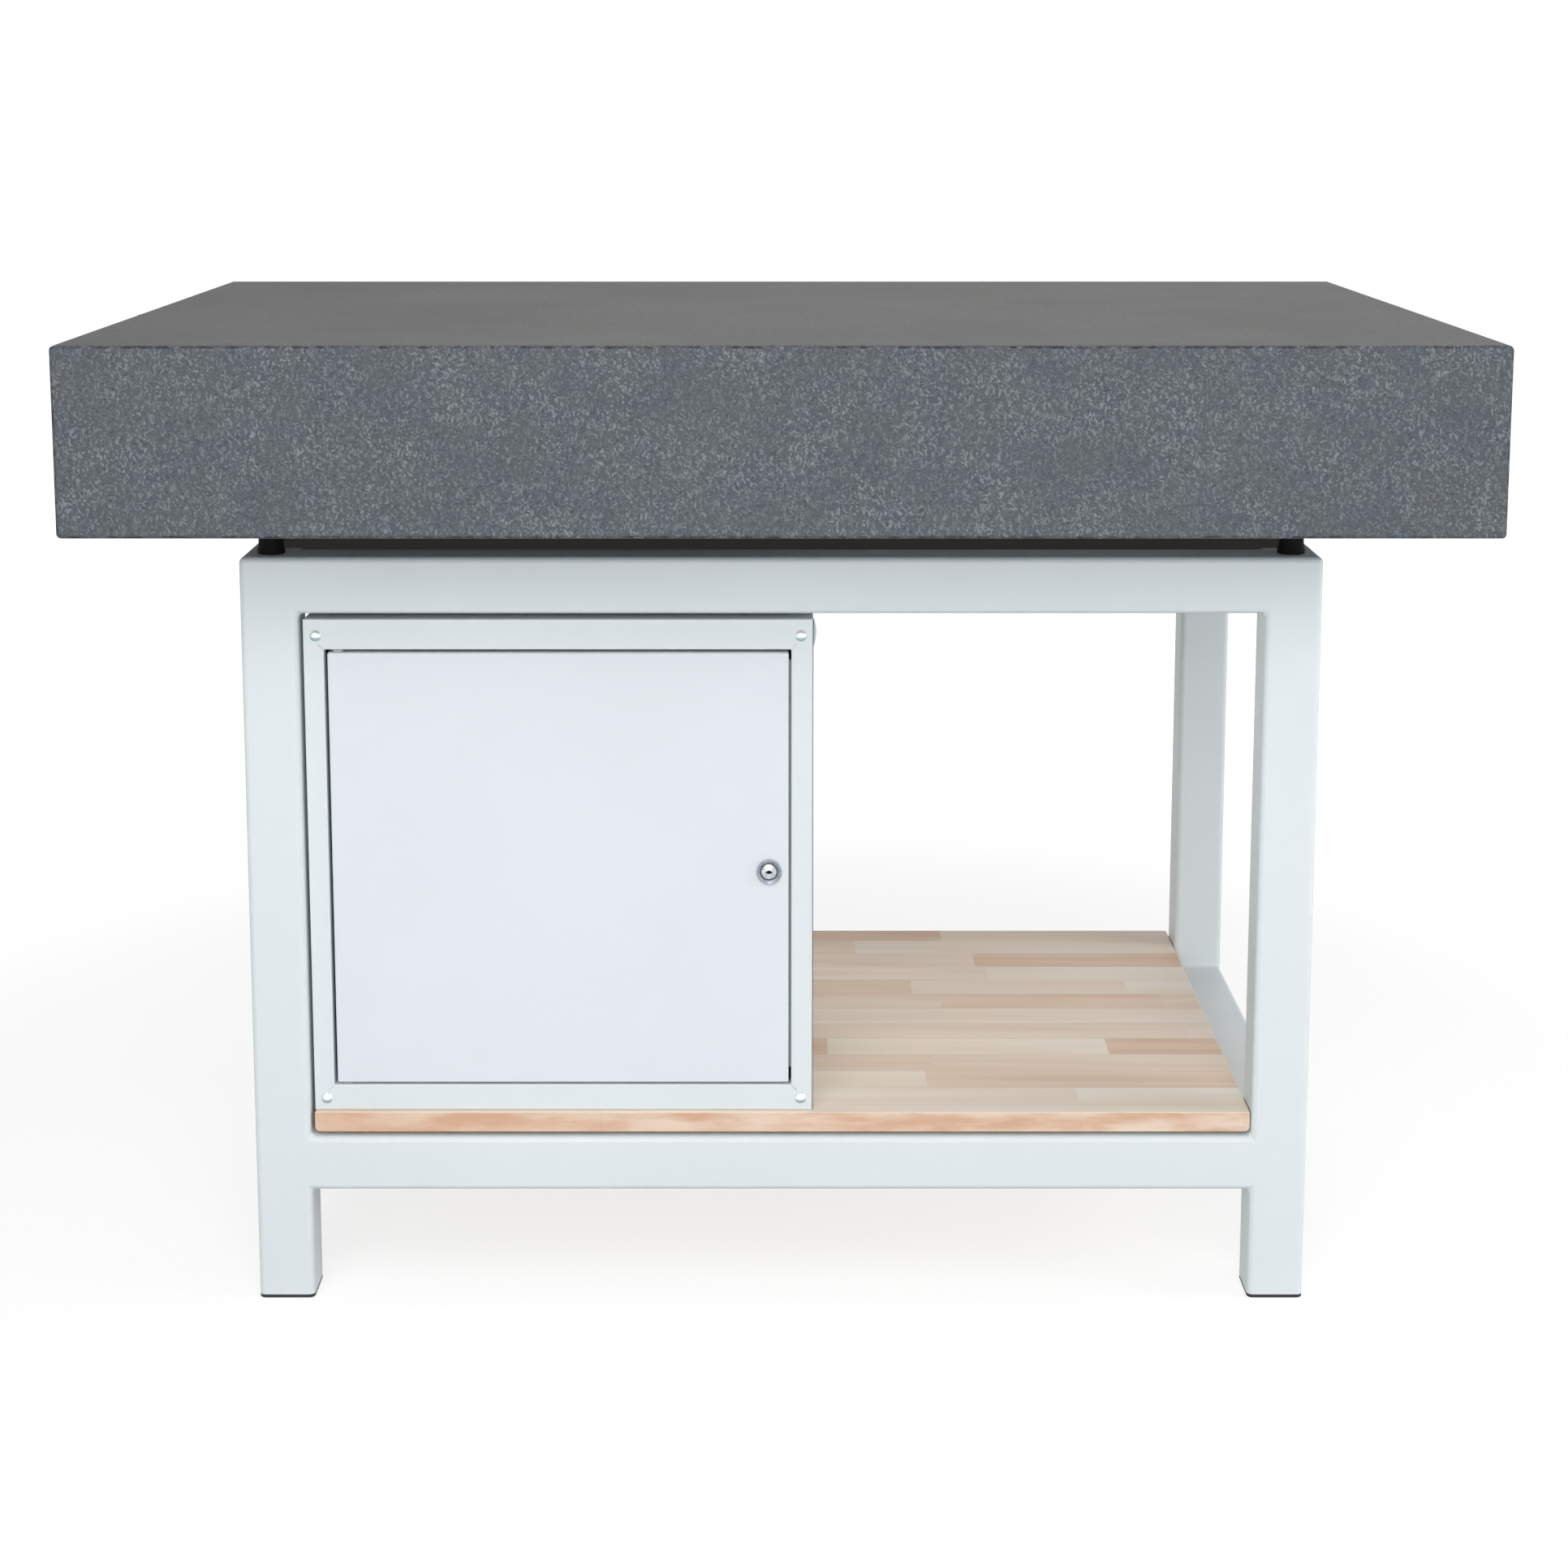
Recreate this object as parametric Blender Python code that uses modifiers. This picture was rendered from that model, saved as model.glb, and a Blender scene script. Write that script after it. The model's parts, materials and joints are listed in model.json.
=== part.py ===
# Granite surface plate on a welded tube stand, with a lockable steel cabinet.
#
# Metres, +Z up. The origin is on the floor, under the centre of the plate.
# The front of the object faces -Y and the cabinet stands at -X.

import math

import bmesh
import bpy
from mathutils import Matrix

# Clearances and cutters
GAP = 0.0003                    # between two pieces that touch
OVERRUN = 0.002                 # how far a cutter runs past the piece it cuts
MERGE = 0.00001                 # distance at which doubled points are one

# Granite plate
PLATE_LENGTH = 1.200
PLATE_DEPTH = 0.800
PLATE_THICKNESS = 0.160
PLATE_EDGE = 0.004              # rounding ground on every edge

# Welded stand of square tube
STAND_WIDTH_SHARE = 0.7875      # of the plate's length
STAND_DEPTH_SHARE = 0.7         # of the plate's depth
TUBE = 0.050
TUBE_WALL = 0.003
TUBE_RADIUS = 0.005             # outer corner radius of the tube
TUBE_INNER_RADIUS = 0.002
LOWER_RAIL_TOP = 0.156
RAIL_EAR = 0.0025               # how far a rail reaches round the leg's rounded corner
WELD_LEG = 0.0055               # weld fillets under the rails
WELD_LEG_ABOVE = 0.0028         # smaller ones above the lower rails, beside the shelf board
WELD_ROOT = 0.001               # how deep a fillet is fused into its rail

# Plastic caps under the legs
CAP_FLANGE = 0.003
CAP_CHAMFER = 0.0008
CAP_STUB = 0.015
CAP_STUB_WALL = 0.0025

# Black pads between the legs and the plate
PAD_HEIGHT = 0.035
PAD_RADIUS = 0.011
PAD_BASE_RADIUS = 0.0121
PAD_BASE_HEIGHT = 0.003
PAD_FLARE_HEIGHT = 0.006
PAD_EDGE = 0.001

# Shelf board of glued staves on the lower rails
BOARD_THICKNESS = 0.018
BOARD_SETBACK = 0.006           # behind the stand's front face
BOARD_OVERHANG = 0.010          # past the stand's rear face
BOARD_END_GAP = 0.0033          # to the legs at each end
BOARD_EDGE = 0.0015

# Cabinet of folded sheet
SHEET = 0.0015
SHEET_BEND = 0.002              # outer radius of a fold
CABINET_WIDTH = 0.448
CABINET_HEIGHT = 0.449
CABINET_SETBACK = 0.010         # behind the stand's front face
CABINET_REAR_SETBACK = 0.050    # in front of the stand's rear face
CABINET_LEG_GAP = 0.003
CABINET_HEAD_GAP = 0.0064       # under the top rails
BACK_FLANGE = 0.012
FRAME_LEFT = 0.018              # widths of the front frame's members
FRAME_RIGHT = 0.0195
FRAME_TOP = 0.027
FRAME_BOTTOM = 0.0236
FRAME_LIP = 0.0145              # depth of the lip round the door opening
TAB_CLEARANCE = 0.002           # between a corner tab and the lip
SEAM_WIDTH = 0.0008             # mitred seams at the frame's inner corners
SEAM_DEPTH = 0.0008
SEAM_LENGTH = 0.007
STOP_COVER = 0.006              # how far the stop angle reaches behind the door
STOP_LEG = 0.009                # its leg along the outside of the lip
STOP_END_GAP = 0.012            # from its ends to the opening's corners

# Rivets at the frame's corners
RIVET_INSET_SIDE = 0.011
RIVET_INSET_TOP = 0.0145
RIVET_INSET_BOTTOM = 0.0115
RIVET_HEAD_RADIUS = 0.005
RIVET_HEAD_HEIGHT = 0.0024
RIVET_RADIUS = 0.0021
RIVET_TAIL_RADIUS = 0.0034
RIVET_TAIL_HEIGHT = 0.0016

# Domed plugs in the cabinet's sides
PLUG_RADIUS = 0.012
PLUG_DOME = 0.0024
PLUG_STUB_RADIUS = 0.0077
PLUG_STUB_LENGTH = 0.006
PLUG_INSET = 0.017              # behind the body's front edge

# Door
DOOR_GAP_HINGE = 0.0028
DOOR_GAP_LOCK = 0.0022
DOOR_GAP_TOP = 0.0028
DOOR_GAP_BOTTOM = 0.0020
DOOR_DEPTH = 0.014

# Hinge pins in nylon bushes
HINGE_INSET = 0.009             # axis from the door's left edge
HINGE_DEPTH = 0.006             # axis behind the door's front face
PIN_RADIUS = 0.002
PIN_HEAD_RADIUS = 0.0035
PIN_HEAD_HEIGHT = 0.002
PIN_TIP = 0.001                 # how far the pin stands out of its bush
BUSH_RADIUS = 0.0032
BUSH_FLANGE_RADIUS = 0.005
BUSH_LENGTH = 0.006             # from the flange into the door

# Cam lock
LOCK_INSET = 0.0175             # axis from the door's right edge
LOCK_DROP = 0.0012              # axis below the door's middle
LOCK_FLANGE_RADIUS = 0.011
LOCK_FLANGE_HEIGHT = 0.003
LOCK_RIM = 0.0008               # flat rim round the dished flange
LOCK_DISH = 0.0016              # depth of the dish
LOCK_BODY_RADIUS = 0.008
LOCK_FLAT = 0.0071              # axis to each flat of the body
LOCK_NUT_ACROSS = 0.020
LOCK_NUT_HEIGHT = 0.004
LOCK_NUT_SIDES = 6
PLUG_FACE_RADIUS = 0.0072       # the turning plug's face
PLUG_FACE_HEIGHT = 0.0016
PLUG_FACE_CROWN = 0.0014
PLUG_SHAFT_RADIUS = 0.0055
KEY_SLOT_LENGTH = 0.0056
KEY_SLOT_WIDTH = 0.0017
KEY_SLOT_DEPTH = 0.009
CAM_CLEARANCE = 0.0005          # between the cam and the stop angle
CAM_THICKNESS = 0.002
CAM_LENGTH = 0.030              # axis to tip
CAM_HUB_RADIUS = 0.008
CAM_TIP_RADIUS = 0.006
CAM_SQUARE = 0.006              # the plug's square end
CAM_SCREW_RADIUS = 0.0016
CAM_SCREW_DEPTH = 0.006
CAM_SCREW_HEAD_RADIUS = 0.0045
CAM_SCREW_HEAD_HEIGHT = 0.0028

# Inner shelf
SHELF_RISE = 0.2254             # its top above the cabinet's bottom
SHELF_FLANGE = 0.015
SHELF_FRONT = 0.035             # behind the cabinet's front
SHELF_SIDE_GAP = 0.001
SHELF_REAR_GAP = 0.002
STUD_RADIUS = 0.0025
STUD_COLLAR_RADIUS = 0.00375
STUD_LENGTH = 0.009
STUD_INSET = 0.045              # from the shelf's front and rear edges

# Facets of the round pieces
FINE_STEPS = 32
COARSE_STEPS = 20
DOME_STEPS = 4
ARC_STEPS = 5
HUB_STEPS = 10
CORNER_SEGMENTS = 3
EDGE_SEGMENTS = 2
CHAMFER_SEGMENTS = 1

# Places worked out from the sizes
HALF = 0.5
QUARTER_TURN = math.pi / 2
FULL_TURN = math.pi * 2
STAND_WIDTH = PLATE_LENGTH * STAND_WIDTH_SHARE
STAND_DEPTH = PLATE_DEPTH * STAND_DEPTH_SHARE
STAND_LEFT = -STAND_WIDTH * HALF
STAND_RIGHT = STAND_WIDTH * HALF
STAND_FRONT = -STAND_DEPTH * HALF
STAND_BACK = STAND_DEPTH * HALF
BOARD_BOTTOM = LOWER_RAIL_TOP + GAP
BOARD_TOP = BOARD_BOTTOM + BOARD_THICKNESS
CABINET_LEFT = STAND_LEFT + TUBE + CABINET_LEG_GAP
CABINET_RIGHT = CABINET_LEFT + CABINET_WIDTH
CABINET_FRONT = STAND_FRONT + CABINET_SETBACK
CABINET_BACK = STAND_BACK - CABINET_REAR_SETBACK
CABINET_BOTTOM = BOARD_TOP + GAP
CABINET_TOP = CABINET_BOTTOM + CABINET_HEIGHT
STAND_HEIGHT = CABINET_TOP + CABINET_HEAD_GAP + TUBE
SHELF_TOP = CABINET_BOTTOM + SHELF_RISE
BODY_FRONT = CABINET_FRONT + SHEET + GAP
OPENING_LEFT = CABINET_LEFT + FRAME_LEFT
OPENING_RIGHT = CABINET_RIGHT - FRAME_RIGHT
OPENING_BOTTOM = CABINET_BOTTOM + FRAME_BOTTOM
OPENING_TOP = CABINET_TOP - FRAME_TOP
LIP_END = CABINET_FRONT + FRAME_LIP
STOP_FRONT = LIP_END + GAP
STOP_BACK = STOP_FRONT + SHEET
DOOR_LEFT = OPENING_LEFT + DOOR_GAP_HINGE
DOOR_RIGHT = OPENING_RIGHT - DOOR_GAP_LOCK
DOOR_BOTTOM = OPENING_BOTTOM + DOOR_GAP_BOTTOM
DOOR_TOP = OPENING_TOP - DOOR_GAP_TOP
DOOR_MIDDLE = (DOOR_BOTTOM + DOOR_TOP) * HALF
HINGE_X = DOOR_LEFT + HINGE_INSET
HINGE_Y = CABINET_FRONT + HINGE_DEPTH
LOCK_X = DOOR_RIGHT - LOCK_INSET
LOCK_Z = DOOR_MIDDLE - LOCK_DROP
CAM_FRONT = STOP_BACK + CAM_CLEARANCE
CAM_BACK = CAM_FRONT + CAM_THICKNESS
PLUG_Y = BODY_FRONT + PLUG_INSET
PLUG_Z = CABINET_TOP - RIVET_INSET_TOP

# The sRGB curve
SRGB_KNEE = 0.04045
SRGB_SLOPE = 12.92
SRGB_OFFSET = 0.055
SRGB_POWER = 2.4

# Finishes: sRGB colour as shares of full white, roughness and metallic value
GRANITE = ((0.44, 0.45, 0.46), 0.45, 0.0)
POWDER_COAT = ((0.86, 0.885, 0.895), 0.42, 0.0)
BLACK_RUBBER = ((0.06, 0.06, 0.06), 0.75, 0.0)
BLACK_PLASTIC = ((0.07, 0.075, 0.08), 0.55, 0.0)
BEECH = ((0.84, 0.74, 0.65), 0.55, 0.0)
NYLON = ((0.80, 0.79, 0.75), 0.5, 0.0)
STEEL = ((0.62, 0.62, 0.61), 0.35, 1.0)
ZINC = ((0.70, 0.71, 0.70), 0.4, 1.0)
CHROME = ((0.80, 0.80, 0.79), 0.16, 1.0)


def clear_scene():
    for thing in list(bpy.data.objects):
        bpy.data.objects.remove(thing, do_unlink=True)


def new_collection(name):
    collection = bpy.data.collections.new(name)
    bpy.context.scene.collection.children.link(collection)
    return collection


def linear(share):
    """The linear value of one sRGB channel, given as a share of full white."""
    if share <= SRGB_KNEE:
        return share / SRGB_SLOPE
    return ((share + SRGB_OFFSET) / (1 + SRGB_OFFSET)) ** SRGB_POWER


def finish(piece, look):
    """Gives a piece its own material."""
    colour, roughness, metallic = look
    material = bpy.data.materials.new(piece.name)
    material.use_nodes = True
    shader = material.node_tree.nodes["Principled BSDF"]
    shader.inputs["Base Color"].default_value = [linear(share) for share in colour] + [1.0]
    shader.inputs["Roughness"].default_value = roughness
    shader.inputs["Metallic"].default_value = metallic
    piece.data.materials.append(material)
    return piece


def place(name, mesh, location, rotation=(0, 0, 0), cutter=False):
    """A new object in the parts' or the cutters' collection."""
    piece = bpy.data.objects.new(name, mesh)
    piece.location = location
    piece.rotation_euler = rotation
    home = CUTTERS if cutter else PARTS
    home.objects.link(piece)
    if cutter:
        piece.hide_render = True
        piece.display_type = "WIRE"
    return piece


def hang(piece, parent):
    """Parents a piece, and keeps its place as world coordinates."""
    piece.parent = parent
    piece.matrix_parent_inverse = parent.matrix_basis.inverted()
    return piece


def axis_empty(name, location, parent=None):
    """An empty on a joint's axis."""
    empty = bpy.data.objects.new(name, None)
    empty.location = location
    PARTS.objects.link(empty)
    if parent:
        empty.parent = parent
        empty.matrix_parent_inverse = parent.matrix_basis.inverted()
    return empty


def middle(low, high):
    return [(a + b) * HALF for a, b in zip(low, high)]


def unit_cube(low, high):
    """A bmesh box of the size from low to high, round its own centre."""
    solid = bmesh.new()
    bmesh.ops.create_cube(solid, size=1)
    bmesh.ops.scale(solid, vec=[b - a for a, b in zip(low, high)], verts=solid.verts)
    return solid


def to_mesh(name, solid):
    mesh = bpy.data.meshes.new(name)
    solid.to_mesh(mesh)
    solid.free()
    return mesh


def box(name, low, high, cutter=False):
    """A box between two corners."""
    return place(name, to_mesh(name, unit_cube(low, high)), middle(low, high), cutter=cutter)


def along(edge, axis):
    """Whether an edge runs along one axis, 0 for X to 2 for Z."""
    step = edge.verts[1].co - edge.verts[0].co
    return abs(step[axis]) > step.length * HALF


def round_edges(solid, edges, radius, segments=CORNER_SEGMENTS):
    bmesh.ops.bevel(
        solid,
        geom=list(edges),
        offset=radius,
        segments=segments,
        profile=HALF,
        affect="EDGES",
        clamp_overlap=False,
    )


def rounded_bar(name, low, high, axis, radius, cutter=False):
    """A bar with the four edges along one axis rounded."""
    solid = unit_cube(low, high)
    round_edges(solid, [edge for edge in solid.edges if along(edge, axis)], radius)
    return place(name, to_mesh(name, solid), middle(low, high), cutter=cutter)


def bevel(piece, width, segments):
    """Rounds all of a piece's sharp edges."""
    modifier = piece.modifiers.new("rounded edges", "BEVEL")
    modifier.width = width
    modifier.segments = segments
    modifier.limit_method = "ANGLE"
    modifier.use_clamp_overlap = False


def cut(piece, cutter):
    modifier = piece.modifiers.new("cut " + cutter.name, "BOOLEAN")
    modifier.operation = "DIFFERENCE"
    modifier.object = cutter


def fuse(piece, addition):
    modifier = piece.modifiers.new("fused " + addition.name, "BOOLEAN")
    modifier.operation = "UNION"
    modifier.object = addition


def turned(name, profile, location, rotation, steps, closed=False, cutter=False):
    """A turned piece. The profile holds (radius, height), down its outer side."""
    mesh = bpy.data.meshes.new(name)
    points = [(radius, 0, height) for radius, height in profile]
    chain = [(i, i + 1) for i in range(len(points) - 1)]
    if closed:
        chain.append((len(points) - 1, 0))
    mesh.from_pydata(points, chain, [])
    piece = place(name, mesh, location, rotation, cutter)
    modifier = piece.modifiers.new("turned", "SCREW")
    modifier.axis = "Z"
    modifier.steps = steps
    modifier.render_steps = steps
    modifier.use_merge_vertices = True
    modifier.merge_threshold = MERGE
    modifier.use_smooth_shade = True
    return piece


def rod(name, radius, bottom, top, location, rotation=(0, 0, 0), cutter=True):
    """A plain cylinder between two heights on its own axis."""
    profile = [(0, top), (radius, top), (radius, bottom), (0, bottom)]
    return turned(name, profile, location, rotation, COARSE_STEPS, cutter=cutter)


def flat_piece(name, outlines, thickness, location, rotation=(0, 0, 0), cutter=False):
    """A flat piece with straight or stepped outlines, its thickness along its own Z."""
    curve = bpy.data.curves.new(name, "CURVE")
    curve.dimensions = "2D"
    curve.fill_mode = "BOTH"
    curve.extrude = thickness * HALF
    for outline in outlines:
        spline = curve.splines.new("POLY")
        spline.points.add(len(outline) - 1)
        for point, (x, y) in zip(spline.points, outline):
            point.co = (x, y, 0, 1)
        spline.use_cyclic_u = True
    sketch = bpy.data.objects.new(name + " outline", curve)
    CUTTERS.objects.link(sketch)
    evaluated = sketch.evaluated_get(bpy.context.evaluated_depsgraph_get())
    mesh = bpy.data.meshes.new_from_object(evaluated)
    bpy.data.objects.remove(sketch, do_unlink=True)
    solid = bmesh.new()
    solid.from_mesh(mesh)
    bmesh.ops.remove_doubles(solid, verts=solid.verts, dist=MERGE)
    bmesh.ops.recalc_face_normals(solid, faces=solid.faces)
    solid.to_mesh(mesh)
    solid.free()
    return place(name, mesh, location, rotation, cutter)


def arc(centre, radius, start, end, steps=ARC_STEPS):
    """Points along an arc, its angles in radians."""
    points = []
    for i in range(steps + 1):
        angle = start + (end - start) * i / steps
        points.append((centre[0] + radius * math.cos(angle), centre[1] + radius * math.sin(angle)))
    return points


def dome(radius, bottom, height):
    """Profile of a domed head, from its crown down to its rim."""
    sphere = (radius ** 2 + height ** 2) / (height + height)
    reach = math.asin(radius / sphere)
    points = []
    for i in range(DOME_STEPS + 1):
        angle = reach * i / DOME_STEPS
        points.append((sphere * math.sin(angle), bottom + height - sphere * (1 - math.cos(angle))))
    return points


def join_meshes(name, pieces):
    """Makes one mesh object of several cutters."""
    bpy.context.view_layer.update()
    graph = bpy.context.evaluated_depsgraph_get()
    solid = bmesh.new()
    for piece in pieces:
        mesh = bpy.data.meshes.new_from_object(piece.evaluated_get(graph))
        mesh.transform(piece.matrix_world)
        solid.from_mesh(mesh)
        bpy.data.meshes.remove(mesh)
        bpy.data.objects.remove(piece, do_unlink=True)
    return place(name, to_mesh(name, solid), (0, 0, 0))


# Granite plate and its pads

def make_plate():
    bottom = STAND_HEIGHT + PAD_HEIGHT
    low = (-PLATE_LENGTH * HALF, -PLATE_DEPTH * HALF, bottom)
    high = (PLATE_LENGTH * HALF, PLATE_DEPTH * HALF, bottom + PLATE_THICKNESS)
    plate = box("granite_plate", low, high)
    bevel(plate, PLATE_EDGE, CORNER_SEGMENTS)
    finish(plate, GRANITE)


def pad_profile():
    top = PAD_HEIGHT - GAP
    column_foot = PAD_BASE_HEIGHT + PAD_FLARE_HEIGHT
    return [
        (0, top),
        (PAD_RADIUS - PAD_EDGE, top),
        (PAD_RADIUS, top - PAD_EDGE),
        (PAD_RADIUS, column_foot),
        (PAD_BASE_RADIUS, PAD_BASE_HEIGHT),
        (PAD_BASE_RADIUS, GAP),
        (0, GAP),
    ]


def make_pad(corner, x, y):
    pad = turned("support_pad_" + corner, pad_profile(), (x, y, STAND_HEIGHT), (0, 0, 0), FINE_STEPS)
    finish(pad, BLACK_RUBBER)


# Stand

def leg_mesh():
    """A leg whose outer sides face -X and -Y, with its top closed and ground round."""
    bottom = CAP_FLANGE + GAP
    solid = unit_cube((0, 0, bottom), (TUBE, TUBE, STAND_HEIGHT))
    upright = [edge for edge in solid.edges if along(edge, 2)]
    outer_top = []
    for edge in solid.edges:
        centre = (edge.verts[0].co + edge.verts[1].co) * HALF
        on_top = not along(edge, 2) and centre.z > 0
        if on_top and (centre.x < -TUBE_WALL or centre.y < -TUBE_WALL):
            outer_top.append(edge)
    round_edges(solid, upright + outer_top, TUBE_RADIUS)
    return to_mesh("leg", solid)


def make_leg(corner, x, y, angle, mesh):
    bottom = CAP_FLANGE + GAP
    name = "leg_" + corner
    leg = place(name, mesh.copy(), (x, y, (bottom + STAND_HEIGHT) * HALF), (0, 0, angle))
    inner = TUBE * HALF - TUBE_WALL
    hollow = rounded_bar(
        name + " hollow",
        (x - inner, y - inner, bottom - OVERRUN),
        (x + inner, y + inner, STAND_HEIGHT - TUBE_WALL),
        2,
        TUBE_INNER_RADIUS,
        cutter=True,
    )
    cut(leg, hollow)
    finish(leg, POWDER_COAT)


def make_foot_cap(corner, x, y):
    name = "foot_cap_" + corner
    half = TUBE * HALF
    stub = half - TUBE_WALL - GAP
    inside = stub - CAP_STUB_WALL
    cap = rounded_bar(name, (x - half, y - half, 0), (x + half, y + half, CAP_FLANGE), 2, TUBE_RADIUS)
    bevel(cap, CAP_CHAMFER, CHAMFER_SEGMENTS)
    top = CAP_FLANGE + CAP_STUB
    block = rounded_bar(
        name + " stub",
        (x - stub, y - stub, CAP_FLANGE * HALF),
        (x + stub, y + stub, top),
        2,
        TUBE_INNER_RADIUS,
        cutter=True,
    )
    fuse(cap, block)
    pocket = box(
        name + " pocket",
        (x - inside, y - inside, CAP_FLANGE),
        (x + inside, y + inside, top + OVERRUN),
        cutter=True,
    )
    cut(cap, pocket)
    finish(cap, BLACK_PLASTIC)


def fillet_outline(leg):
    """Section of a weld fillet: X along the rail from the leg, Y away from the rail's face."""
    points = [(-OVERRUN, -WELD_ROOT), (leg, -WELD_ROOT)]
    points += arc((leg, leg), leg, -QUARTER_TURN, -QUARTER_TURN - QUARTER_TURN)
    points.append((-OVERRUN, leg))
    return points


def mirrored(outline, turn_x, turn_y):
    return [(x * turn_x, y * turn_y) for x, y in outline]


def rail_fillets(name, length, weld_above):
    """The weld fillets at both ends of a rail, in the rail's own frame."""
    pieces = []
    faces = [(-1, WELD_LEG)]
    if weld_above:
        faces.append((1, WELD_LEG_ABOVE))
    for face, leg in faces:
        for end in (-1, 1):
            outline = mirrored(fillet_outline(leg), -end, face)
            place_at = (end * length * HALF, 0, face * TUBE * HALF)
            width = TUBE - (TUBE_RADIUS + WELD_ROOT) / HALF
            piece = flat_piece(name, [outline], width, place_at, (QUARTER_TURN, 0, 0), cutter=True)
            pieces.append(piece)
    return pieces


def leg_cope(name, end, length):
    """The leg's outline at one end of a rail, round only at the rail's outer face."""
    near = end * (length * HALF - GAP)
    far = end * (length * HALF + TUBE)
    half = TUBE * HALF
    low = (min(near, far), -half - GAP, -half - OVERRUN - WELD_LEG)
    high = (max(near, far), half + GAP, half + OVERRUN + WELD_LEG)
    solid = unit_cube(low, high)
    for edge in list(solid.edges):
        centre = (edge.verts[0].co + edge.verts[1].co) * HALF
        if along(edge, 2) and centre.x * end < 0 and centre.y < 0:
            round_edges(solid, [edge], TUBE_RADIUS + GAP)
            break
    return place(name, to_mesh(name, solid), middle(low, high), cutter=True)


def gather(name, pieces, parent):
    """Joins cutters into one, which follows its parent."""
    whole = join_meshes(name, pieces)
    PARTS.objects.unlink(whole)
    CUTTERS.objects.link(whole)
    whole.hide_render = True
    whole.display_type = "WIRE"
    whole.parent = parent
    return whole


def make_rail(name, length, location, angle, weld_above):
    """A rail between two legs, made along its own X with its outer face at -Y."""
    half = TUBE * HALF
    reach = length * HALF + RAIL_EAR
    rail = rounded_bar(name, (-reach, -half, -half), (reach, half, half), 0, TUBE_RADIUS)
    rail.location = location
    rail.rotation_euler = (0, 0, angle)
    fuse(rail, gather(name + " fillets", rail_fillets(name + " fillet", length, weld_above), rail))
    inner = half - TUBE_WALL
    long = reach + OVERRUN
    bore = rounded_bar(
        name + " hollow",
        (-long, -inner, -inner),
        (long, inner, inner),
        0,
        TUBE_INNER_RADIUS,
        cutter=True,
    )
    bore.parent = rail
    cut(rail, bore)
    copes = [leg_cope(name + " cope", end, length) for end in (-1, 1)]
    cut(rail, gather(name + " copes", copes, rail))
    finish(rail, POWDER_COAT)


def make_rails():
    half = TUBE * HALF
    across = STAND_WIDTH - TUBE - TUBE
    deep = STAND_DEPTH - TUBE - TUBE
    levels = (("top_rail_", STAND_HEIGHT - half, False), ("lower_rail_", LOWER_RAIL_TOP - half, True))
    for prefix, z, weld_above in levels:
        make_rail(prefix + "front", across, (0, STAND_FRONT + half, z), 0, weld_above)
        make_rail(prefix + "rear", across, (0, STAND_BACK - half, z), math.pi, weld_above)
        make_rail(prefix + "left", deep, (STAND_LEFT + half, 0, z), -QUARTER_TURN, weld_above)
        make_rail(prefix + "right", deep, (STAND_RIGHT - half, 0, z), QUARTER_TURN, weld_above)


def make_corners():
    """The four legs with their caps and pads."""
    half = TUBE * HALF
    left = STAND_LEFT + half
    right = STAND_RIGHT - half
    front = STAND_FRONT + half
    rear = STAND_BACK - half
    corners = (
        ("front_left", left, front, 0),
        ("front_right", right, front, QUARTER_TURN),
        ("rear_right", right, rear, math.pi),
        ("rear_left", left, rear, -QUARTER_TURN),
    )
    mesh = leg_mesh()
    for corner, x, y, angle in corners:
        make_leg(corner, x, y, angle, mesh)
        make_foot_cap(corner, x, y)
        make_pad(corner, x, y)
    bpy.data.meshes.remove(mesh)


def make_board():
    low = (STAND_LEFT + TUBE + BOARD_END_GAP, STAND_FRONT + BOARD_SETBACK, BOARD_BOTTOM)
    high = (STAND_RIGHT - TUBE - BOARD_END_GAP, STAND_BACK + BOARD_OVERHANG, BOARD_TOP)
    board = box("shelf_board", low, high)
    bevel(board, BOARD_EDGE, EDGE_SEGMENTS)
    finish(board, BEECH)


# Cabinet

def sheet_shell(name, low, high, open_sides, corner_axes):
    """A box of folded sheet. Its open sides are named by (axis, side)."""
    solid = unit_cube(low, high)
    lost = []
    for face in solid.faces:
        for axis, side in open_sides:
            if face.normal[axis] * side > HALF:
                lost.append(face)
    bmesh.ops.delete(solid, geom=lost, context="FACES")
    folds = [edge for edge in solid.edges if len(edge.link_faces) > 1]
    folds = [edge for edge in folds if any(along(edge, axis) for axis in corner_axes)]
    round_edges(solid, folds, SHEET_BEND)
    shell = place(name, to_mesh(name, solid), middle(low, high))
    modifier = shell.modifiers.new("sheet", "SOLIDIFY")
    modifier.thickness = SHEET
    modifier.offset = -1
    modifier.use_even_offset = True
    return shell


def rivet_places():
    """Name, X and Z of the rivets at the frame's corners."""
    places = []
    columns = (("left", CABINET_LEFT + RIVET_INSET_SIDE), ("right", CABINET_RIGHT - RIVET_INSET_SIDE))
    for side, x in columns:
        places.append(("bottom_" + side, x, CABINET_BOTTOM + RIVET_INSET_BOTTOM))
        places.append(("top_" + side, x, CABINET_TOP - RIVET_INSET_TOP))
    return places


def rivet_hole_cutters(name):
    """Four short rods through the frame and the body's corner tabs."""
    rods = []
    for _, x, z in rivet_places():
        where = (x, CABINET_FRONT, z)
        depth = SHEET + GAP + SHEET + OVERRUN
        rods.append(rod(name, RIVET_RADIUS + GAP, -depth, OVERRUN, where, (QUARTER_TURN, 0, 0)))
    return gather(name, rods, None)


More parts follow.
